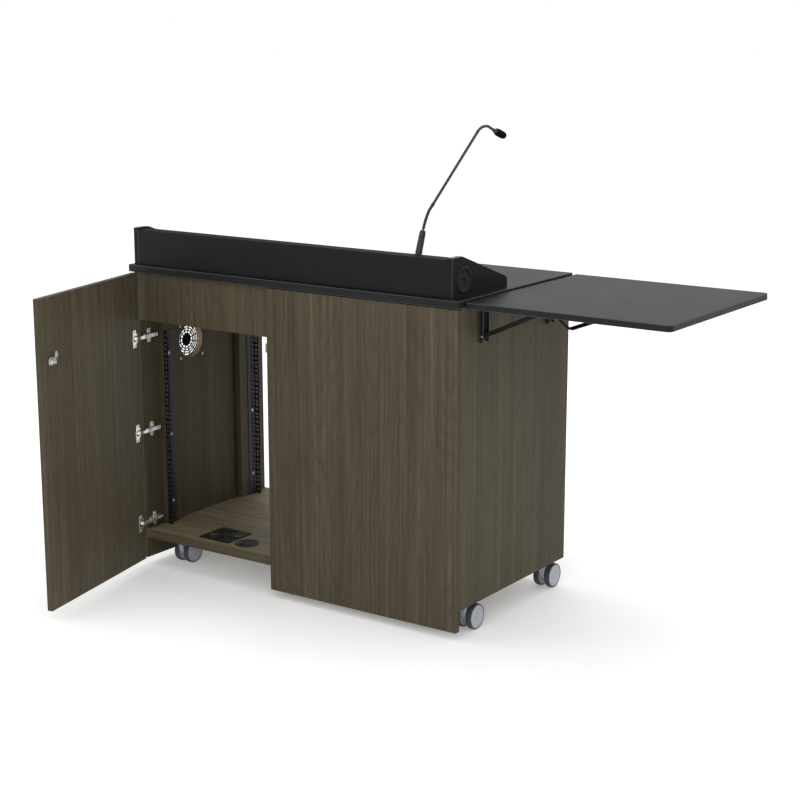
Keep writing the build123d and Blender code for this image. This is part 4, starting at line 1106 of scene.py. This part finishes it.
BEZEL = [(6.1, -16), (7.9, -16), (7.9, 0), (11.4, 0.0), (12.0, 0.5), (12.0, 1.3), (11.2, 2.1),
         (9.4, 2.4), (6.1, 2.2)]
thread = [(6.1, -2.0)]
for turn in range(14):
    h = turn - 2.0
    thread += [(7.55, h), (7.95, h + 0.35), (7.95, h + 0.55), (7.55, h + 0.9)]
thread += [(7.4, 12.0), (6.1, 12.0)]
piece = Piece("lock_barrel", "nickel", "lock_body", body="left_door")
piece.add(ring(BEZEL, 56), outer, NICKEL)
piece.add(ring(thread, 40), inner, NICKEL)
piece.add(plate([circle(0, 0, 11.0, 6), circle(0, 0, 7.95, 36)], 6.0, bevel=0.8), inner, NICKEL)
piece.add(band(8.0, 12.2, 0.0, 0.9, 40), inner, NICKEL)
piece.done()

CAM_V = 12.4                        # inner end of the plug, where the cam sits
piece = Piece("lock_core", "nickel", "lock_plug", body="door_lock")
piece.add(lathe([(0, -30.8), (6.0, -30.8), (6.0, CAM_V), (0, CAM_V)], 40), inner, NICKEL)
piece.add(plate([circle(0, 0, 5.9, 40), rect(0, 0, 1.3, 8.0)], 1.4), outer @ shift(z=2.2), NICKEL)
piece.add(lathe([(0, CAM_V), (3.85, CAM_V), (3.85, 17.4), (0, 17.4)], 24), inner, NICKEL)
put_screw(piece, inner @ shift(z=15.0), 5.5, 2.4)
piece.done()

# the cam steps inward: lower blade, riser, upper blade
lower_blade = rounded([(-8, 0), (-5.6, -6.2), (5.6, -6.2), (8, 0), (6, 9), (6, 16), (-6, 16),
                       (-6, 9)], [3, 5, 5, 3, 3, 0, 0, 3], 5)
upper_blade = rounded([(-6, 13.5), (6, 13.5), (6, 27), (3.2, 32.4), (-3.2, 32.4), (-6, 27)],
                      [0, 0, 5, 3, 3, 5], 6)
piece = Piece("lock_cam_arm", "nickel", "lock_cam", body="door_lock")
piece.add(plate([lower_blade, circle(0, 0, 4.0, 30)], 2.5, bevel=0.45), inner @ shift(z=CAM_V),
          NICKEL)
piece.add(box(12, 2.6, 8.5, bevel=0.4, segments=2), inner @ shift(0, 14.75, CAM_V + 4.25), NICKEL,
          smooth=False)
piece.add(plate([upper_blade], 2.5, bevel=0.5), inner @ shift(z=CAM_V + 6), NICKEL)
piece.done()
dress("lock_keeper", NICKEL, bevel=0.3)

# ---------------------------------------------------------------------------
# shelf brackets
# ---------------------------------------------------------------------------
# the wall legs' bevels take a painted highlight
dress("bracket_wall_legs", STEEL, bevel=0.45, line=STEEL_PAINTED_HIGHLIGHT)
dress("bracket_arms", STEEL_BRACE, bevel=0.45)
dress("bracket_braces", STEEL_BRACE, bevel=0.45)
dress("release_lever", LEVER, bevel=0.6)

RIVET = [(0, -18.1), (2.7, -18.1), (3.4, -17.5), (3.4, -16.8), (2.45, -16.6),
         (2.45, 16.6), (3.4, 16.8), (3.4, 17.5), (2.7, 18.1), (0, 18.1)]
piece = Piece("bracket_rivets", "zinc_steel", "bracket_pivot_pins")
for y in BRACKET_YS:
    for z, material in ((948.0, STEEL), (866.0, ZINC)):
        piece.add(lathe(RIVET, 32), along((SHELF_LEFT, y, z), Y, X), material)
piece.done()

# ---------------------------------------------------------------------------
# casters: profiles are (radius, height), wheel heights run outward along the axle
# ---------------------------------------------------------------------------
STEM = [(0, 90), (14, 90), (14, 87.6), (13.2, 87.0), (5.0, 87.0), (5.0, 72.6), (4.4, 72.0),
        (0, 72.0)]
COLLAR = [(5.2, 78), (14.2, 78), (15.0, 79), (15.0, 85.6), (14.2, 86.4), (5.2, 86.4)]
AXLE = [(0, -26.3), (3.4, -26.3), (3.95, -25.7), (3.95, 25.7), (3.4, 26.3), (0, 26.3)]
HUB = [(4.0, 10.0), (33.4, 10.0), (34.0, 10.4), (34.0, 27.2), (33.4, 27.8), (32.0, 28.0),
       (31.4, 27.3), (30.4, 26.8), (20.0, 27.2), (11.4, 27.4), (11.0, 26.7), (10.1, 26.7),
       (9.7, 27.4), (9.0, 28.0), (4.6, 28.2), (4.0, 27.9)]
HUB_CAP = [(0, 27.5), (4.3, 27.5), (4.3, 28.1), (3.4, 28.35), (0, 28.4)]
TREAD = [(34.05, 10.2), (35.2, 10.0), (36.6, 10.5), (37.6, 11.8), (38.0, 14.5), (38.0, 24.0),
         (37.6, 26.6), (36.7, 27.9), (35.4, 28.4), (34.05, 28.2)]

piece = Piece("caster_top_plates", "zinc_steel", "caster_mount_plates")
for x, y in CASTERS.values():
    piece.add(plate([rect(min(x, CASTER_PLATE_MAX_X), y, 58, 58, 6)], 3.0, bevel=0.5),
              shift(z=CASTER_TOP), ZINC)
    piece.add(lathe(STEM, 40), shift(x, y), ZINC)
piece.done()


def caster(name, x, y):
    axle_y = y + AXLE_TRAIL
    swivel, wheels = name + "_caster_swivel", name + "_caster_wheels"
    # fork outline (y, z), with a raised panel on either face
    shell = rounded([(y - 15, 85.5), (y - 17.5, 58), (y - 5, 31), (axle_y - 5, 20.5),
                     (axle_y + 14, 25), (axle_y + 22, 40), (axle_y + 17, 60), (y + 16, 85.5)],
                    [3, 14, 12, 12, 14, 14, 16, 3], 8)
    panel = rounded([(y - 12, 82), (y - 13.5, 60), (y - 2, 36), (axle_y + 6, 30),
                     (axle_y + 15, 42), (axle_y + 11, 58), (y + 13, 82)], 6, 5)
    fork = Piece(name + "_caster_fork", "grey_plastic", name + "_caster_housing", body=swivel)
    fork.add(plate([shell, circle(axle_y, AXLE_Z, 4.2, 32)], 17.0, bevel=2.0, resolution=2),
             on_x(x - 8.5), GREY)
    fork.add(ring(COLLAR, 48), shift(x, y), GREY)
    for dx in (-9.0, 8.2):
        fork.add(plate([panel], 0.8, bevel=0.35), on_x(x + dx), GREY)
    fork.done(40)

    pin = Piece(name + "_caster_axle_pin", "zinc_steel", name + "_caster_axle", body=wheels)
    pin.add(lathe(AXLE, 28), along((x, axle_y, AXLE_Z), X, Y), ZINC)
    pin.done()

    discs = Piece(name + "_caster_wheel_discs", "grey_plastic", name + "_caster_hubs", body=wheels)
    treads = Piece(name + "_caster_treads", "tyre_rubber", name + "_caster_tyres", body=wheels)
    for outward in (-X, X):
        at = along((x, axle_y, AXLE_Z), outward, Y)
        discs.add(ring(HUB, 80), at, GREY_HUB)
        discs.add(lathe(HUB_CAP, 32), at, GREY_HUB)
        treads.add(ring(TREAD, 96), at, TYRE)
    discs.done(28)
    treads.done(50)


for name, (x, y) in CASTERS.items():
    caster(name, x, y)

# ---------------------------------------------------------------------------
# microphone, standing square on the reading board
# ---------------------------------------------------------------------------
MIC_X, MIC_Y = 420.4, -234.0
mic_z = READING_Z - (MIC_Y - READING_Y) * math.tan(SLOPE)
mic_foot = Vector((MIC_X, MIC_Y, mic_z))
foot = along(mic_foot, slope_up, X)

FLANGE_PROFILE = [(0, 0.0), (15.8, 0.0), (16.0, 0.3), (16.0, 1.6), (15.2, 2.5), (13.6, 2.9),
                  (0, 3.0)]
piece = Piece("mic_flange", "mic_black", "mic_base_flange")
piece.add(lathe(FLANGE_PROFILE, 56), foot, MIC_BLACK).done(50)

HOLDER = [(0, 3.0), (9.3, 3.0), (9.5, 3.4), (9.9, 8.4), (9.6, 9.0), (9.2, 9.2), (9.2, 10.2),
          (10.0, 10.6), (10.0, 13.0), (9.6, 40.0), (9.3, 52.0), (9.2, 53.0), (8.9, 53.3),
          (8.9, 54.2), (9.2, 54.6), (9.1, 66.0), (8.6, 70.5), (7.4, 73.4), (5.6, 75.2),
          (3.9, 76.0), (0, 76.0)]
piece = Piece("mic_stem", "mic_black", "mic_holder")
piece.add(lathe(HOLDER, 40), foot, MIC_BLACK).done(40)


def hermite(start, end, start_pull, end_pull, count):
    """count points from start, stopping one short of end."""
    points = []
    for i in range(count):
        s = i / count
        points.append(start * (2 * s ** 3 - 3 * s ** 2 + 1) + start_pull * (s ** 3 - 2 * s ** 2 + s)
                      + end * (-2 * s ** 3 + 3 * s ** 2) + end_pull * (s ** 3 - s ** 2))
    return points


def resample(points, step):
    samples, carry = [points[0]], 0.0
    for a, b in zip(points, points[1:]):
        length = (b - a).length
        while carry + length >= step:
            a = a + (b - a).normalized() * (step - carry)
            samples.append(a.copy())
            length = (b - a).length
            carry = 0.0
        carry += length
    return samples


def ribbed(points, radius, pitch=2.1, depth=0.30):
    """Tube with four stations to each rib."""
    path = resample(points, pitch / 4)
    radii = [radius - depth * (0.5 - 0.5 * math.cos(2 * math.pi * i / 4)) for i in range(len(path))]
    return sweep(path, radii, 16)


# the neck: ribbed lower bend, straight rod, ribbed upper bend
neck_start = mic_foot + slope_up * 80.0
lower_bend, rod_start, rod_end, upper_bend, head = [
    Vector((MIC_X, y, z)) for y, z in ((-181.9, 1198.1), (-160.3, 1216.6), (72.5, 1406.3),
                                       (119.3, 1420.1), (160.7, 1406.1))]
rod = (rod_end - rod_start).normalized()
lean = (rod_start - neck_start).normalized()
crest = Vector((0, 1.0, -0.02))
droop = Vector((0, 0.9459, -0.3245))
lower = (hermite(neck_start, lower_bend, slope_up * 52, lean * 52, 60)
         + hermite(lower_bend, rod_start, lean * 27, rod * 27, 40))
upper = (hermite(rod_end, upper_bend, rod * 52, crest * 52, 60)
         + hermite(upper_bend, head, crest * 44, droop * 44, 60) + [head])

# rod stations: (end of the rod, distance along it, radius)
ROD = [(rod_start, -6, 4.4), (rod_start, -5.5, 5.0), (rod_start, 4.5, 5.0), (rod_start, 6.5, 4.15),
       (rod_end, -6.5, 4.15), (rod_end, -4.5, 4.7), (rod_end, 3.5, 4.7), (rod_end, 4, 4.2)]
BALL = 3.7                          # rounded foot, just clear of the holder's tip
ball = [(BALL * math.cos(math.radians(a)), BALL * math.sin(math.radians(a)))
        for a in range(-75, 76, 15)]
piece = Piece("mic_gooseneck_tube", "mic_black", "gooseneck", body="mic_neck")
piece.add(ribbed(lower, 4.5), shift(), NECK)
piece.add(lathe([(0, -BALL)] + ball + [(0, BALL)], 28), along(neck_start, slope_up, X), NECK)
piece.add(sweep([end + rod * distance for end, distance, _ in ROD],
                [radius for _, _, radius in ROD], 22), shift(), NECK)
piece.add(ribbed(upper, 4.4), shift(), NECK)
piece.done(60)

COLLAR_PROFILE = [(0, 0.3), (4.6, 0.3), (5.5, 0.8), (5.9, 2.0), (6.3, 8.0), (6.1, 8.3),
                  (6.1, 9.0), (6.5, 9.3), (7.0, 15.5), (6.6, 16.5), (0, 16.5)]
DOME_RADIUS, DOME_START = 10.9, 53.0
foam_profile = [(0, 14.0), (6.4, 14.0), (8.6, 14.6), (9.9, 16.4), (10.7, 20.0), (11.2, 27.0),
                (11.4, 36.0), (11.3, 45.0), (DOME_RADIUS, DOME_START)]
for i in range(1, 12):
    angle = math.radians(90 * i / 12)
    foam_profile.append((DOME_RADIUS * math.cos(angle) ** 0.8,
                         DOME_START + 14.8 * math.sin(angle)))
foam_profile.append((0, 68.0))
head_frame = along(head, (0, 65.0, -22.3), X)
piece = Piece("mic_foam_head", "foam", "mic_windscreen", body="mic_neck")
piece.add(lathe(COLLAR_PROFILE, 36), head_frame, MIC_COLLAR)
piece.add(lathe(foam_profile, 48), head_frame, FOAM)
piece.done(60)

# ---------------------------------------------------------------------------
# stage, light and camera, in metres
# ---------------------------------------------------------------------------
bm = bmesh.new()
bmesh.ops.create_grid(bm, x_segments=2, y_segments=2, size=45.0)
floor = bpy.data.objects.new("floor", to_mesh(bm, "floor"))
scene.collection.objects.link(floor)
mat = Shader("pale_floor")
pale = mat.ramp(mat.noise(3.0, detail=3.0), (0.3, (0.83, 0.83, 0.83)), (0.7, (0.86, 0.86, 0.86)))
mat.bsdf.inputs["Emission Color"].default_value = (1, 1, 1, 1)
mat.bsdf.inputs["Emission Strength"].default_value = 0.20
floor.data.materials.append(mat.finish(pale, rough=0.85, spec=0.0))

world = bpy.data.worlds.new("studio")
scene.world = world
world.use_nodes = True
background = world.node_tree.nodes["Background"]
background.inputs["Color"].default_value = (1.0, 1.0, 1.0, 1)
background.inputs["Strength"].default_value = 1.0


def area(name, location, target_z, size, power):
    """Area light aimed at a point on the Z axis."""
    light = bpy.data.lights.new(name, "AREA")
    light.shape = "RECTANGLE"
    light.size, light.size_y = size
    light.energy = power
    ob = bpy.data.objects.new(name, light)
    scene.collection.objects.link(ob)
    ob.location = location
    ob.rotation_mode = "QUATERNION"
    aim = Vector((0, 0, target_z)) - Vector(location)
    ob.rotation_quaternion = aim.to_track_quat("-Z", "Y")


area("key", (1.6, -5.0, 2.9), target_z=0.6, size=(3.4, 2.6), power=58)
area("fill", (-4.2, -3.2, 2.4), target_z=0.6, size=(3.0, 3.0), power=22)
area("top", (0, 0.6, 4.2), target_z=0.8, size=(4.0, 3.0), power=40)
area("back", (-1.5, 4.5, 2.6), target_z=0.7, size=(3.0, 2.0), power=25)

camera = bpy.data.cameras.new("camera")
camera.sensor_width = 36.0
camera.lens = 77.5
camera.clip_start, camera.clip_end = 0.05, 60.0
camera_ob = bpy.data.objects.new("camera", camera)
scene.collection.objects.link(camera_ob)
heading, dip = math.radians(34.73), math.radians(12.92)
forward = Vector((-math.sin(heading) * math.cos(dip), math.cos(heading) * math.cos(dip),
                  -math.sin(dip)))
camera_ob.location = (3.1073, -4.1984, 1.7648)
camera_ob.rotation_mode = "QUATERNION"
camera_ob.rotation_quaternion = forward.to_track_quat("-Z", "Y")
scene.camera = camera_ob
scene.view_settings.view_transform = "Standard"
